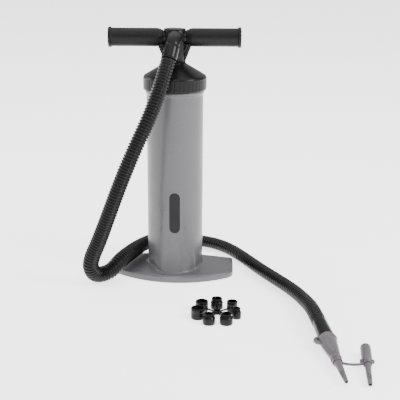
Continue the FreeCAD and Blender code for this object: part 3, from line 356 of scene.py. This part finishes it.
def apron_radius(t, z):
    """Radius of the apron's arc in the direction t from the front.

    At height z the apron is an arc through three points: one on the barrel
    each side, and one at its front.  A ray from the axis meets that arc at
    c cos t + sqrt(rho^2 - c^2 sin^2 t).
    """
    half = table(z, APRON_Z, APRON_HALF)
    front = BARREL_R + table(z, APRON_Z, APRON_OUT)
    back = np.sqrt((BARREL_R - 1.2) ** 2 - half ** 2)
    rise = front - back
    rho = (rise ** 2 + half ** 2) / (2 * rise)
    c = front - rho
    inside = rho ** 2 - (c * np.sin(t)) ** 2
    arc = c * np.cos(t) + np.sqrt(np.maximum(inside, 0))
    return np.where((inside > 0) & (np.cos(t) > 0.2), arc, 0)


def flute_depth(t, z):
    """A shallow arched scoop in the apron's right side, open at the deck."""
    x = BARREL_R * np.sin(t)
    centre = 22.5
    half = 15.5 * np.sqrt(np.clip(1 - ((z - 18) / 70) ** 2, 0, 1))
    across = (half - np.abs(x - centre)) / 3.2
    return 2.6 * smooth_step(across) * (np.cos(t) > 0)


def wall_radius(t, z):
    """The outside of the barrel: wall, apron, flute and top collar."""
    r = smooth_max(apron_radius(t - math.radians(APRON_TURN), z),
                   BARREL_R, 4.5)
    r = r - flute_depth(t, z)
    collar = smooth_step((z - 357.6) / 1.0) * smooth_step((363.9 - z) / 1.0)
    return r + 2.0 * collar


def foot_radius(t):
    """Distance of the foot's outline: arched front, two ends, a back."""
    t = t - math.radians(FOOT_TURN)
    x, y = np.sin(t), -np.cos(t)
    arch_r, arch_y = 177.2, 100.2
    front = (arch_y * y
             + np.sqrt((arch_y * y) ** 2 + arch_r ** 2 - arch_y ** 2))
    ends = 115.7 / np.maximum(0.998 * np.abs(x) + 0.064 * y, 1e-3)
    back = 46.0 / np.maximum(y, 1e-3)
    r = -smooth_max(-front, -ends, 12.0)
    r = -smooth_max(-r, -back, 12.0)
    return smooth_max(r, BARREL_R + 0.3, 1.5)


# %% The moulding's grid
COLUMNS = 600
t = np.linspace(-np.pi, np.pi, COLUMNS, endpoint=False)[None, :]
outward = np.stack([np.sin(t), -np.cos(t)], -1)


def rim(distance):
    """The outline moved inwards by a distance, square to itself."""
    plan = foot_radius(t)[..., None] * outward
    tangent = np.roll(plan, -1, 1) - np.roll(plan, 1, 1)
    tangent = tangent / np.linalg.norm(tangent, axis=-1, keepdims=True)
    normal = np.stack([tangent[..., 1], -tangent[..., 0]], -1)
    return plan - normal * distance


def level_ring(plan, z):
    """One row of the grid: a plan outline at a height."""
    z = np.broadcast_to(z, plan.shape[:-1])
    return np.concatenate([plan, z[..., None]], -1)


gap = np.maximum(foot_radius(t) - wall_radius(t, DECK_Z + 4) - 0.4, 0)
fillet = np.minimum(4.0, 0.35 * gap)
front_ease = np.exp(-(t / 0.55) ** 2)
edge = np.minimum(2.6 + 5.0 * front_ease, 0.35 * gap)
heights = np.r_[BARREL_TOP, 370, 364.2, np.linspace(363.9, 362.7, 4),
                np.linspace(358.8, 357.4, 4), np.linspace(352, 196, 14),
                np.linspace(190, 26, 66)]
rows = [level_ring(wall_radius(t, z)[..., None] * outward, z)
        for z in heights]
low = DECK_Z + fillet
for z in np.linspace(1, 0, 4)[1:]:
    height = low + z * (26 - low)
    rows.append(level_ring(wall_radius(t, height)[..., None] * outward,
                           height))
at_wall = wall_radius(t, low)
for turn in np.linspace(0, np.pi / 2, 7)[1:]:
    reach = at_wall + fillet * (1 - math.cos(turn))
    drop = (reach - BARREL_R) * DECK_FALL
    rows.append(level_ring(reach[..., None] * outward,
                           low - fillet * math.sin(turn)
                           - drop * math.sin(turn)))
wall_foot = rows[-1]
deck_edge = rim(edge[..., None])
edge_reach = np.linalg.norm(deck_edge, axis=-1)
edge_z = DECK_Z - (edge_reach - BARREL_R) * DECK_FALL
deck_end = level_ring(deck_edge, edge_z)
for share in np.linspace(0, 1, 12)[1:]:
    rows.append(wall_foot + share * (deck_end - wall_foot))
for turn in np.linspace(0, np.pi / 2, 8)[1:]:
    inset = edge * (1 - math.sin(turn))
    rows.append(level_ring(rim(inset[..., None]),
                           edge_z - edge * (1 - math.cos(turn))))
rows.append(level_ring(rim(0.0), 0.8))
rows.append(level_ring(rim(0.25), 0.2))
rows.append(level_ring(rim(0.9), 0.0))
thick = np.minimum(3.0, 0.45 * gap + 0.9)[..., None]
rows.append(level_ring(rim(thick), 0.0))
under = np.maximum(edge_z - 3.5, 0.4)
rows.append(level_ring(rim(thick), under * 0.5))
rows.append(level_ring(rim(thick), under))
hidden = np.minimum(BARREL_R - 0.2, np.linalg.norm(rim(thick), axis=-1))
rows.append(level_ring(hidden[..., None] * outward, DECK_Z - 4))
rows.append(level_ring(hidden[..., None] * outward, 0.0))
bore = BORE_R * outward
rows.append(level_ring(bore, 0.0))
rows.append(level_ring(bore, BARREL_TOP))
barrel = surface("barrel_moulding", np.concatenate(rows), wrap_rows=True)
count(barrel)

# %% [markdown]
# ## The badge
# A long dark pill of printed film lies on the front of the barrel.  It
# follows the wall, three tenths of a millimetre proud, and carries nothing.

# %% Badge
BADGE_HALF = 10.2
BADGE_Z = (94.5, 174.0)


def badge_rows(half, low, high, proud, steps=60):
    """Rows across a pill whose ends are half circles, laid on the wall."""
    z = low + (high - low) * (1 - np.cos(np.linspace(0, np.pi, steps))) / 2
    end = np.maximum(np.maximum(low + half - z, z - (high - half)), 0)
    reach = np.sqrt(np.maximum(half ** 2 - end ** 2, 0))
    x = reach[:, None] * np.linspace(-1, 1, 31)[None, :] + 0.5
    z = np.repeat(z[:, None], 31, 1)
    turn = np.arcsin(x / BARREL_R)
    r = wall_radius(turn, z)
    turn = np.arcsin(x / r)
    y = -np.sqrt(wall_radius(turn, z) ** 2 - x ** 2)
    return np.stack([x, y - proud, z], -1)


front = badge_rows(BADGE_HALF - 0.3, BADGE_Z[0] + 0.3, BADGE_Z[1] - 0.3, 0.36)
sides = badge_rows(BADGE_HALF, *BADGE_Z, 0.1)
back = badge_rows(BADGE_HALF, *BADGE_Z, -0.3)
badge = surface("front_badge", np.concatenate(
    [front, sides[:, ::-1], back[:, ::-1]], 1), wrap_columns=True)
count(badge)

# %% [markdown]
# ## The screw cap
# The cap is turned in section, with narrow grip grooves pressed into its
# skirt.  The grooves are a narrow dip in the radius, repeated round it, that
# fades out at the skirt's two rims.

# %% Cap
CAP_GROOVES = 44


def cap_shape(z, t, r):
    """Radius less a narrow groove, only on the skirt's outer wall."""
    groove = np.maximum(np.cos(CAP_GROOVES * t), 0) ** 5
    on_skirt = (smooth_step((z - 366.0) / 2.0)
                * smooth_step((386.0 - z) / 2.0) * (r > 58.5))
    return r - 0.6 * groove * on_skirt


cap_profile = [(364.0, 57.0), (364.0, 58.4), (364.5, 59.3), (365.4, 59.9),
               (366.5, 60.0)]
cap_profile += [(z, 60.0) for z in np.linspace(368, 385, 12)]
cap_profile += [(386.2, 60.0), (386.9, 59.9), (387.3, 59.6), (388.6, 59.1),
                (389.8, 58.5), (390.8, 57.6), (391.5, 56.4), (394.2, 52.0),
                (398.4, 45.0), (402.6, 38.0), (406.8, 31.0), (410.4, 25.0),
                (411.5, 23.1), (412.2, 22.0), (413.0, 21.2), (413.9, 20.8),
                (414.3, 20.5), (414.5, 20.0), (414.5, 17.2), (408.0, 17.2),
                (386.0, 55.4), (384.0, 56.6), (366.0, 56.6)]
cap = turned("screw_cap", cap_profile, ring=True, steps=CAP_GROOVES * 14,
             shape=cap_shape)
count(cap)

# %% [markdown]
# ## The handle
# A hub, two webs and two arms are one moulding; the grips are sleeves on the
# arms with a round plug in each end.  The webs narrow towards the cap and
# have slanting ribs.

# %% Grips and end plugs
grips = []
for side, name in ((-1, "left"), (1, "right")):
    profile = [(21.8, 12.6), (21.8, 13.5), (22.6, 13.8), (24.0, 14.1),
               (26.0, 14.9), (28.5, 16.0), (31.0, 16.7), (34.0, 17.0),
               (50.0, 17.0), (80.0, 17.0), (116.6, 17.0), (117.6, 17.4),
               (118.0, 18.2), (118.4, 18.7), (119.0, 18.95), (119.8, 19.0),
               (122.0, 19.0), (122.9, 18.7), (123.4, 18.0), (123.5, 17.2),
               (123.5, 15.0), (122.9, 14.4), (122.9, 0.0)]
    grip = turned("grip_" + name + "_sleeve", [(21.8, 0.0)] + profile,
                  at=(0, 0, GRIP_Z), along=(side, 0, 0), up=(0, 0, 1),
                  steps=80)
    grips.append(grip)
    count(grip)

# %% Hub, webs and port
hub_profile = [(414.9, 0.0), (414.9, 19.6), (415.5, 20.4), (430.0, 20.5),
               (450.0, 20.5), (473.6, 20.5), (474.2, 20.2), (474.4, 19.9),
               (474.7, 20.1), (475.0, 20.5), (475.8, 20.5), (476.3, 20.1),
               (476.5, 19.3), (476.45, 15.0), (476.3, 14.6), (476.3, 0.0)]
hub = turned("handle_hub", hub_profile, steps=96)
count(hub)


def web_half(z):
    """Half the webs' width at a height: straight sides, then upright."""
    return np.interp(z, [415.0, 445.0, 450.0], [19.0, 31.0, 32.0])


z = np.linspace(415.0, 449.0, 60)
around = np.linspace(0, 2 * np.pi, 160, endpoint=False)[None, :]
half_x = web_half(z)[:, None]
THICK_HALF = 9.0


def block_curve(half_x, half_y, around, power=0.16):
    """A rounded oblong in plan: a circle with its corners pushed out."""
    c, s = np.cos(around), np.sin(around)
    return (half_x * np.sign(c) * np.abs(c) ** power,
            half_y * np.sign(s) * np.abs(s) ** power)


x, y = block_curve(half_x, THICK_HALF, around)
slant = half_x - np.abs(x)
rib = np.maximum(np.cos((slant - 0.9) * 2 * np.pi / 4.0), 0) ** 0.6
rib = rib * (slant < 11) * (np.abs(y) > THICK_HALF * 0.8)
y = y + np.sign(y) * rib * 0.9
webs = np.stack([x, y, np.broadcast_to(z[:, None], x.shape)], -1)
low_row = webs[:1] * [0.001, 0.001, 1]
top_row = webs[-1:] * [0.001, 0.001, 1]
web_piece = surface("handle_webs", np.concatenate([low_row, webs, top_row]))
count(web_piece)

port = turned("hose_port",
              [(8.0, 0.0), (8.0, 14.8), (24.0, 14.2), (29.5, 13.7),
               (30.4, 13.4), (31.0, 12.9), (31.0, 0.0)],
              at=(0, 0, GRIP_Z), along=(0, -1, 0), up=(0, 0, 1), steps=80)
count(port)
arm = turned("handle_arms",
             [(-24.0, 0.0), (-24.0, 12.0), (-21.0, 12.4), (0.0, 13.0),
              (21.0, 12.4), (24.0, 12.0), (24.0, 0.0)],
             at=(0, 0, GRIP_Z), along=(1, 0, 0), up=(0, 0, 1), steps=80)
count(arm)

# %% [markdown]
# ## The elbow and the hose's cuff
# A short elbow turns the air way down out of the hub.  A smooth cuff ends
# the hose on it.  Both are rings carried along one arc and one straight
# line, so they are a sweep with a changing radius.

# %% Elbow and cuff


def swept(name, centres, ways, radii, up, sides=72):
    """Rings of given radii square to given directions; ends closed."""
    ways = ways / np.linalg.norm(ways, axis=1, keepdims=True)
    side = np.cross(up, ways)
    side = side / np.linalg.norm(side, axis=1, keepdims=True)
    top = np.cross(ways, side)
    t = np.linspace(0, 2 * np.pi, sides, endpoint=False)[None, :, None]
    points = (centres[:, None] + np.array(radii)[:, None, None]
              * (side[:, None] * np.cos(t) + top[:, None] * np.sin(t)))
    return surface(name, points)


bend = np.linspace(0, ELBOW_TURN, 22)
bend_centres = (elbow_start
                + ELBOW_BEND_R * np.sin(bend)[:, None] * elbow_ahead
                + ELBOW_BEND_R * (1 - np.cos(bend))[:, None] * elbow_down)
bend_ways = (np.cos(bend)[:, None] * elbow_ahead
             + np.sin(bend)[:, None] * elbow_down)
lead = np.array([elbow_start - elbow_ahead * d for d in (4.0, 4.0, 3.2, 1.0)])
centres = np.concatenate([lead, bend_centres, bend_centres[-1:]])
ways = np.concatenate([np.repeat(elbow_ahead[None], 4, 0), bend_ways,
                       bend_ways[-1:]])
radii = np.r_[0.0, 12.4, 13.0, 12.9, np.linspace(12.7, 12.6, 22), 0.0]
elbow_up = np.cross(elbow_ahead, elbow_down)
elbow = swept("elbow", centres, ways, radii, elbow_up)
count(elbow)

run = np.array([0.0, 0.0, 0.6, 3.0, 6.0, 12.0, 18.0, 22.0, 24.6, 25.6, 26.0,
                26.0])
cuff_radii = np.array([0.0, 12.6, 13.0, 13.5, 13.9, 14.2, 14.4, 14.5, 14.5,
                       14.2, 13.6, 0.0])
cuff = swept("hose_cuff_sleeve", elbow_end + run[:, None] * elbow_way,
             np.repeat(elbow_way[None], len(run), 0), cuff_radii, elbow_up)
count(cuff)

# %% [markdown]
# ## The nozzle
# The nozzle is a soft polyethylene cone with a collar, a second ring half
# way down, and a pierced lug at its side.  Its cone is dished by two twisted
# scoops, and its collar's rim is waved: both change the radius with the
# direction.  Near the tip a hollow is cut in one side.

# %% Nozzle


# start and end of the hollow (mm), and the direction it faces (radians)
NOZZLE_SLOT = (99, 117, 2.2)
SPARE_SLOT = (84, 98, 1.7)


def side_slot(a, t, r, start, end, turn):
    """The radius with a hollow cut in one side between two distances."""
    facing = smooth_step((np.cos(t - turn) - 0.45) / 0.25)
    along = smooth_step((a - start) / 3) * smooth_step((end - a) / 2)
    depth = facing * along
    return r * (1 - depth) + 1.0 * depth


def nozzle_shape(a, t, r):
    """The cone less two twisted scoops, and a collar with a waved rim."""
    scoop = np.maximum(np.cos(2 * t + 0.5 + 0.03 * a), 0) ** 0.8
    on_cone = smooth_step((a - 11) / 8) * smooth_step((58 - a) / 9)
    wave = 1.1 * np.sin(3 * t + 0.8) * smooth_step((a - 1) / 3)
    on_collar = smooth_step((14 - a) / 6)
    r = (r - 4.4 * scoop * on_cone * (r > 8.2)
         + wave * on_collar * (r > 9.5))
    return side_slot(a, t, r, *NOZZLE_SLOT)


def nozzle_cuff_points():
    """Profile of the smooth black cuff on the hose's far end."""
    return [(-56.0, 10.6), (-56.0, 11.7), (-55.4, 12.2), (-54.0, 12.3),
            (-40.0, 12.6), (-20.0, 13.0), (-8.0, 13.3), (-1.6, 13.4),
            (-0.6, 13.1), (-0.1, 12.4), (-0.1, 10.6)]


nozzle_cuff = turned("nozzle_cuff_sleeve", nozzle_cuff_points(),
                     at=NOZZLE_AT, along=nozzle_way, ring=True)
nozzle_profile = [(-29.0, 0.0), (-29.0, 9.3), (-0.3, 9.3), (0.0, 13.4),
                  (0.5, 14.2), (1.4, 14.6), (2.6, 14.7), (5.4, 14.7),
                  (6.8, 14.4), (7.6, 13.8), (9.0, 13.3), (12.0, 13.2),
                  (16.0, 13.2)]
nozzle_profile += [(a, 13.3 - (a - 16) * 0.115)
                   for a in np.linspace(18, 56, 16)]
nozzle_profile += [(58.6, 8.4), (59.6, 8.5), (60.2, 8.9), (61.0, 9.0),
                   (63.4, 8.9), (64.2, 8.5), (64.7, 7.4), (65.2, 6.2),
                   (70.0, 6.0), (75.0, 5.95)]
nozzle_profile += [(a, 5.95 - (a - 75) * 0.055)
                   for a in np.linspace(77, 123, 47)]
nozzle_profile += [(124.8, 3.1), (125.7, 2.8), (126.0, 2.4), (126.0, 1.9),
                   (120.0, 1.9), (119.0, 0.0)]
nozzle = turned("nozzle_body", nozzle_profile, at=NOZZLE_AT,
                along=nozzle_way, up=(0, 0, 1), shape=nozzle_shape)
count(nozzle)


def lug(name, at, way, side, reach, half_t, thick, hole, steps=64):
    """A flat pierced ear: an oval ring in the plane square to way."""
    t = np.linspace(0, 2 * np.pi, steps, endpoint=False)[None, :]
    top = np.cross(way, side)
    section = np.array([(hole, -thick + 0.4), (hole + 0.5, -thick),
                        (reach - 0.8, -thick), (reach, -thick + 0.8),
                        (reach, thick - 0.8), (reach - 0.8, thick),
                        (hole + 0.5, thick), (hole, thick - 0.4)])
    r = section[:, :1]
    a = section[:, 1:]
    points = (at + a[..., None] * way + (r * np.cos(t))[..., None] * side
              + (r * np.sin(t))[..., None] * top * half_t)
    return surface(name, points, wrap_rows=True)


eye = lug("nozzle_eye", NOZZLE_AT + nozzle_way * 4.6 - nozzle_side * 14.2,
          nozzle_top, nozzle_side, 9.0, 1.05, 2.6, 3.4)

# %% Spare nozzle and strap
SPARE_GIRTH = 1.12
spare_profile = [(6.0, 0.0), (6.0, 5.4), (0.6, 5.7), (0.0, 6.2), (0.0, 7.0),
                 (0.4, 7.5), (1.2, 7.7), (20.0, 7.6), (36.0, 7.4),
                 (42.0, 7.2), (43.6, 6.8), (45.6, 5.4), (47.0, 4.7),
                 (52.0, 4.55), (70.0, 4.1), *[(a, 4.1 - (a - 70) * 0.0243)
                                              for a in range(82, 101, 1)],
                 (105.0, 3.25),
                 (108.6, 3.1), (109.6, 2.8), (110.0, 2.4), (110.0, 1.9),
                 (100.0, 1.9), (99.0, 0.0)]
spare = turned("spare_nozzle_body",
               [(a, r * SPARE_GIRTH) for a, r in spare_profile], at=SPARE_AT,
               along=spare_way, up=(0, 0, 1), steps=72,
               shape=lambda a, t, r: side_slot(a, t, r, *SPARE_SLOT))
count(spare)
ears = []
for side in (-1, 1):
    at = SPARE_AT + spare_way * 43.2 + spare_side * side * 8.2
    ears.append(lug("spare_ear_%s" % ("a" if side < 0 else "b"), at,
                    spare_way, spare_side * side, 3.4, 0.9, 2.6, 0.05,
                    steps=32))

LAND_MID = 69.75
loop = turned("strap_loop",
              [(LAND_MID - 2.2, 6.15), (LAND_MID - 2.2, 7.5),
               (LAND_MID - 1.6, 8.0), (LAND_MID + 1.6, 8.0),
               (LAND_MID + 2.2, 7.5), (LAND_MID + 2.2, 6.15)],
              at=NOZZLE_AT, along=nozzle_way, ring=True, steps=64)
spare_loop = turned("strap_spare_loop",
                    [(48.2, 5.5), (48.2, 6.4), (48.7, 6.9), (52.1, 6.9),
                     (52.6, 6.4), (52.6, 5.5)],
                    at=SPARE_AT, along=spare_way, ring=True, steps=64)
strap_from = NOZZLE_AT + nozzle_way * LAND_MID
strap_to = SPARE_AT + spare_way * 50.4 - spare_side * 5.6
strap_bow = (strap_from + strap_to) / 2 + np.array([0, -12.0, 0])
u = np.linspace(0, 1, 41)[:, None]
strap_line = ((1 - u) ** 2 * strap_from + 2 * u * (1 - u) * strap_bow
              + u ** 2 * strap_to)
strap_line[:, 2] = (strap_from[2] * (1 - u[:, 0]) + u[:, 0] * strap_to[2])
strap_way = np.gradient(strap_line, axis=0)
strap_way = strap_way / np.linalg.norm(strap_way, axis=1, keepdims=True)
strap_out = np.cross(strap_way, [0, 0, 1.0])
section = np.array([(-0.9, -1.7), (-0.4, -2.2), (0.4, -2.2), (0.9, -1.7),
                    (0.9, 1.7), (0.4, 2.2), (-0.4, 2.2), (-0.9, 1.7)])
keep = (u[:, 0] > 0.11)
strap_points = (strap_line[:, None] + section[None, :, :1]
                * strap_out[:, None]
                + section[None, :, 1:] * np.array([0, 0, 1.0]))[keep]
ends = [strap_points[:1].mean(1, keepdims=True).repeat(8, 1),
        strap_points[-1:].mean(1, keepdims=True).repeat(8, 1)]
strap = surface("strap_band", np.concatenate([ends[0], strap_points,
                                              ends[1]]))
count(strap)

# %% [markdown]
# ## The valve adapters
# Seven open cups of different widths sit round a small hub on thin arms, as
# they come out of the mould.  Each has a stepped neck and a deep bore.

# %% Adapters
ADAPTER_AT = np.array([80.0, -226.0, 0.0])
ADAPTER_RING_R = 34.5
ADAPTERS = ((11.2, 9.6, 7.6), (11.2, 11.2, 8.6), (12.6, 12.6, 9.8),
            (11.0, 8.0, 6.2), (11.5, 9.0, 7.0), (8.2, 6.8, 4.8),
            (9.5, 9.5, 6.9))
cups = []
for i, (outer, neck, bore_r) in enumerate(ADAPTERS):
    angle = math.radians(90 + i * 360 / len(ADAPTERS))
    at = ADAPTER_AT + ADAPTER_RING_R * np.array([math.cos(angle),
                                                 math.sin(angle), 0])
    step = 12.0
    rise = (outer - neck) * 0.6
    profile = [(0.0, bore_r - 2.6), (0.0, outer - 0.9), (0.25, outer - 0.3),
               (0.9, outer), (step - 0.5, outer),
               (step - 0.1, outer - 0.12), (step + rise, neck),
               (18.3, neck), (18.8, neck - 0.25), (19.0, neck - 0.7),
               (19.0, bore_r + 0.45), (18.8, bore_r + 0.1),
               (18.3, bore_r), (4.0, bore_r), (4.0, bore_r - 2.6)]
    cup = turned("adapter_%d_cup" % (i + 1), profile, at=at, ring=True,
                 steps=64)
    cups.append(cup)
    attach(cup, "adapter_set")
    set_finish(cup, "adapter_plastic")
    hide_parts("adapter_cup_%d" % (i + 1))
count(cups[0])

# %% Pieces ride on their bodies
for piece, node, body, slot_name in (
        (barrel, "barrel", "pump_body", "barrel_plastic"),
        (badge, "label", "pump_body", "badge_film"),
        (cap, "cap", "pump_body", "cap_plastic"),
        (nozzle_cuff, "nozzle_cuff", "pump_body", "hose_plastic"),
        (nozzle, "nozzle", "pump_body", "nozzle_plastic"),
        (hub, "handle_tee", "handle_and_piston", "handle_plastic"),
        (elbow, "hose_elbow", "handle_and_piston", "handle_plastic"),
        (cuff, "hose_cuff", "handle_and_piston", "hose_plastic"),
        (spare, "spare_nozzle", "spare_nozzle", "nozzle_plastic"),
        (strap, "nozzle_strap", "spare_nozzle", "nozzle_plastic")):
    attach(piece, body)
    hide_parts(node)
    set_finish(piece, slot_name)
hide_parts("hub_lid")
for piece, body, slot_name in (
        (web_piece, "handle_and_piston", "handle_plastic"),
        (port, "handle_and_piston", "handle_plastic"),
        (arm, "handle_and_piston", "handle_plastic"),
        (eye, "pump_body", "nozzle_plastic"),
        (loop, "spare_nozzle", "nozzle_plastic"),
        (spare_loop, "spare_nozzle", "nozzle_plastic"),
        (ears[0], "spare_nozzle", "nozzle_plastic"),
        (ears[1], "spare_nozzle", "nozzle_plastic")):
    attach(piece, body)
    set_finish(piece, slot_name)
for grip, name in zip(grips, ("left", "right")):
    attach(grip, "handle_and_piston")
    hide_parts("grip_" + name, "end_cap_" + name)
    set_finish(grip, "grip_plastic")

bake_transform(hose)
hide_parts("hose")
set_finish(hose, "hose_plastic")

# %% [markdown]
# ## Materials
# Nearly everything is moulded plastic.  Each has a faint unevenness in its
# colour and gloss, and a fine grain or flow texture from its mould.

# %% Material helpers


def linear(code):
    """An sRGB hex colour as linear red, green, blue and alpha."""
    c = np.array([int(code[k:k + 2], 16) / 255 for k in (0, 2, 4)])
    c = np.where(c <= 0.04045, c / 12.92, ((c + 0.055) / 1.055) ** 2.4)
    return (*[float(v) for v in c], 1.0)


def add(tree, kind, inputs=None, **settings):
    """A new node with its settings; an input is a value or a socket."""
    new = tree.nodes.new("ShaderNode" + kind)
    for key, value in settings.items():
        setattr(new, key, value)
    for key, value in (inputs or {}).items():
        if isinstance(value, bpy.types.NodeSocket):
            tree.links.new(value, new.inputs[key])
        else:
            new.inputs[key].default_value = value
    return new


def moulded(name, light, dark, rough, grain_mm, grain, patch_mm=30.0,
            rough_spread=0.06, **fixed):
    """Moulded plastic: two shades in soft patches, and a fine grain."""
    material = bpy.data.materials.new(name)
    material.use_nodes = True
    tree = material.node_tree
    shader = tree.nodes["Principled BSDF"]
    place = add(tree, "TexCoord").outputs["Object"]
    patches = add(tree, "TexNoise", {"Vector": place,
                                     "Scale": 1 / (patch_mm * MM),
                                     "Detail": 3.0}).outputs["Fac"]
    specks = add(tree, "TexNoise", {"Vector": place,
                                    "Scale": 1 / (grain_mm * MM),
                                    "Detail": 2.0}).outputs["Fac"]
    colour = add(tree, "Mix", {"Factor": patches, "A": linear(dark),
                               "B": linear(light)}, data_type="RGBA")
    tree.links.new(colour.outputs[2], shader.inputs["Base Color"])
    gloss = add(tree, "MapRange", {"Value": patches, "From Min": 0.3,
                                   "From Max": 0.7,
                                   "To Min": rough - rough_spread,
                                   "To Max": rough + rough_spread})
    tree.links.new(gloss.outputs["Result"], shader.inputs["Roughness"])
    bump = add(tree, "Bump", {"Height": specks, "Strength": grain,
                              "Distance": 0.0002})
    tree.links.new(bump.outputs["Normal"], shader.inputs["Normal"])
    for key, value in fixed.items():
        shader.inputs[key].default_value = value
    return material


# %% Materials
BLACK_SHINE = {"IOR": 1.5, "Specular IOR Level": 0.19}
grey_pp = moulded("polypropylene_moulded_grey", "525254", "4c4c4e", 0.32,
                  1.2, 0.25, IOR=1.49)
black_abs = moulded("abs_moulded_black", "0a0a0b", "060607", 0.34, 1.0, 0.2,
                    **BLACK_SHINE)
grip_pp = moulded("polypropylene_textured_black", "0d0d0e", "09090a", 0.46,
                  0.9, 0.55, **BLACK_SHINE)
hose_pe = moulded("polyethylene_blown_black", "09090a", "060607", 0.32, 1.6,
                  0.3, **BLACK_SHINE)
nozzle_pe = moulded("polyethylene_moulded_grey", "5e595e", "544f54", 0.46,
                    1.1, 0.4, patch_mm=14.0, IOR=1.51)
adapter_pe = moulded("polyethylene_moulded_black", "080809", "040405", 0.34,
                     1.0, 0.3, patch_mm=12.0, **BLACK_SHINE)
badge_film = moulded("vinyl_film_printed_dark", "151517", "111113", 0.34,
                     0.8, 0.1, **BLACK_SHINE)
rubber = moulded("nitrile_rubber_moulded", "1a1a1a", "131313", 0.62, 0.7,
                 0.5, patch_mm=8.0, **BLACK_SHINE)
acetal = moulded("acetal_turned_natural", "c9c6bc", "bdb9ae", 0.38, 0.8,
                 0.15, patch_mm=10.0, IOR=1.48)
rod_pvc = moulded("pvc_extruded_black", "141415", "0f0f10", 0.20, 2.5, 0.12,
                  **BLACK_SHINE)
steel = moulded("steel_zinc_plated", "a0a3a7", "8c8f93", 0.34, 0.6, 0.3,
                patch_mm=6.0, Metallic=1.0)
by_slot = {"barrel_plastic": grey_pp, "cap_plastic": black_abs,
           "handle_plastic": black_abs, "grip_plastic": grip_pp,
           "black_plastic": black_abs, "rod_plastic": rod_pvc,
           "bush_plastic": acetal, "seal_rubber": rubber,
           "valve_rubber": rubber, "spring_steel": steel,
           "badge_film": badge_film, "hose_plastic": hose_pe,
           "nozzle_plastic": nozzle_pe, "adapter_plastic": adapter_pe}
for entry in frame["record"]["subparts"]:
    data = frame["nodes"][entry["node"]].data
    data.materials.clear()
    data.materials.append(by_slot[entry["material_slot"]])
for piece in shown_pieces():
    if "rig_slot" in piece and not piece.data.materials:
        piece.data.materials.append(by_slot[piece["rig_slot"]])
print("materials:", len(set(by_slot.values())))

# %% [markdown]
# ## Floor and light
# A pale floor and a white surround give the soft grey sides and the bright
# rims that black plastic shows in a light tent.  A lamp from the right
# shapes the barrel, a wide one overhead lights the foot, and two weak ones,
# from the left behind and from the front above, draw the edges.

# %% Floor and lamps
FLOOR_HALF = 40000.0
floor = surface("floor", np.array([[(-FLOOR_HALF, -FLOOR_HALF, -0.3),
                                    (FLOOR_HALF, -FLOOR_HALF, -0.3)],
                                   [(-FLOOR_HALF, FLOOR_HALF, -0.3),
                                    (FLOOR_HALF, FLOOR_HALF, -0.3)]]),
                wrap_columns=False, smooth=False)
floor_paint = bpy.data.materials.new("paper_sweep_white")
floor_paint.use_nodes = True
tree = floor_paint.node_tree
paper = add(tree, "TexNoise", {"Scale": 4.0,
                               "Vector": add(tree, "TexCoord").outputs[
                                   "Object"]})
shade = add(tree, "Mix", {"Factor": paper.outputs["Fac"],
                          "A": linear("f6f6f6"), "B": linear("fbfbfb")},
            data_type="RGBA")
tree.links.new(shade.outputs[2],
               tree.nodes["Principled BSDF"].inputs["Base Color"])
tree.nodes["Principled BSDF"].inputs["Roughness"].default_value = 0.9
glow = tree.nodes["Principled BSDF"].inputs
glow["Emission Color"].default_value = (1, 1, 1, 1)
glow["Emission Strength"].default_value = 2.0
floor.data.materials.append(floor_paint)

world = bpy.data.worlds.new("light_tent")
world.use_nodes = True
world.node_tree.nodes["Background"].inputs["Color"].default_value = (
    1, 1, 1, 1)
world.node_tree.nodes["Background"].inputs["Strength"].default_value = 0.75
bpy.context.scene.world = world


def lamp(name, at, aim, size, power):
    """A square area lamp at a point, turned to face another."""
    data = bpy.data.lights.new(name, "AREA")
    data.size = size
    data.energy = power
    piece = bpy.data.objects.new(name, data)
    piece.location = at
    turn = (Vector(aim) - Vector(at)).to_track_quat("-Z", "Y")
    piece.rotation_euler = turn.to_euler()
    bpy.context.scene.collection.objects.link(piece)


lamp("key_right", (1.8, -0.9, 1.3), (0, 0, 0.25), 0.7, 42)
lamp("top_soft", (0.0, 0.4, 4.0), (0, 0.4, 0.0), 6.0, 190)
lamp("strip_left", (-1.3, 0.5, 0.7), (0, 0, 0.4), 0.6, 8)
lamp("front_high", (0.1, -2.2, 2.6), (0, 0, 0.45), 0.9, 14)
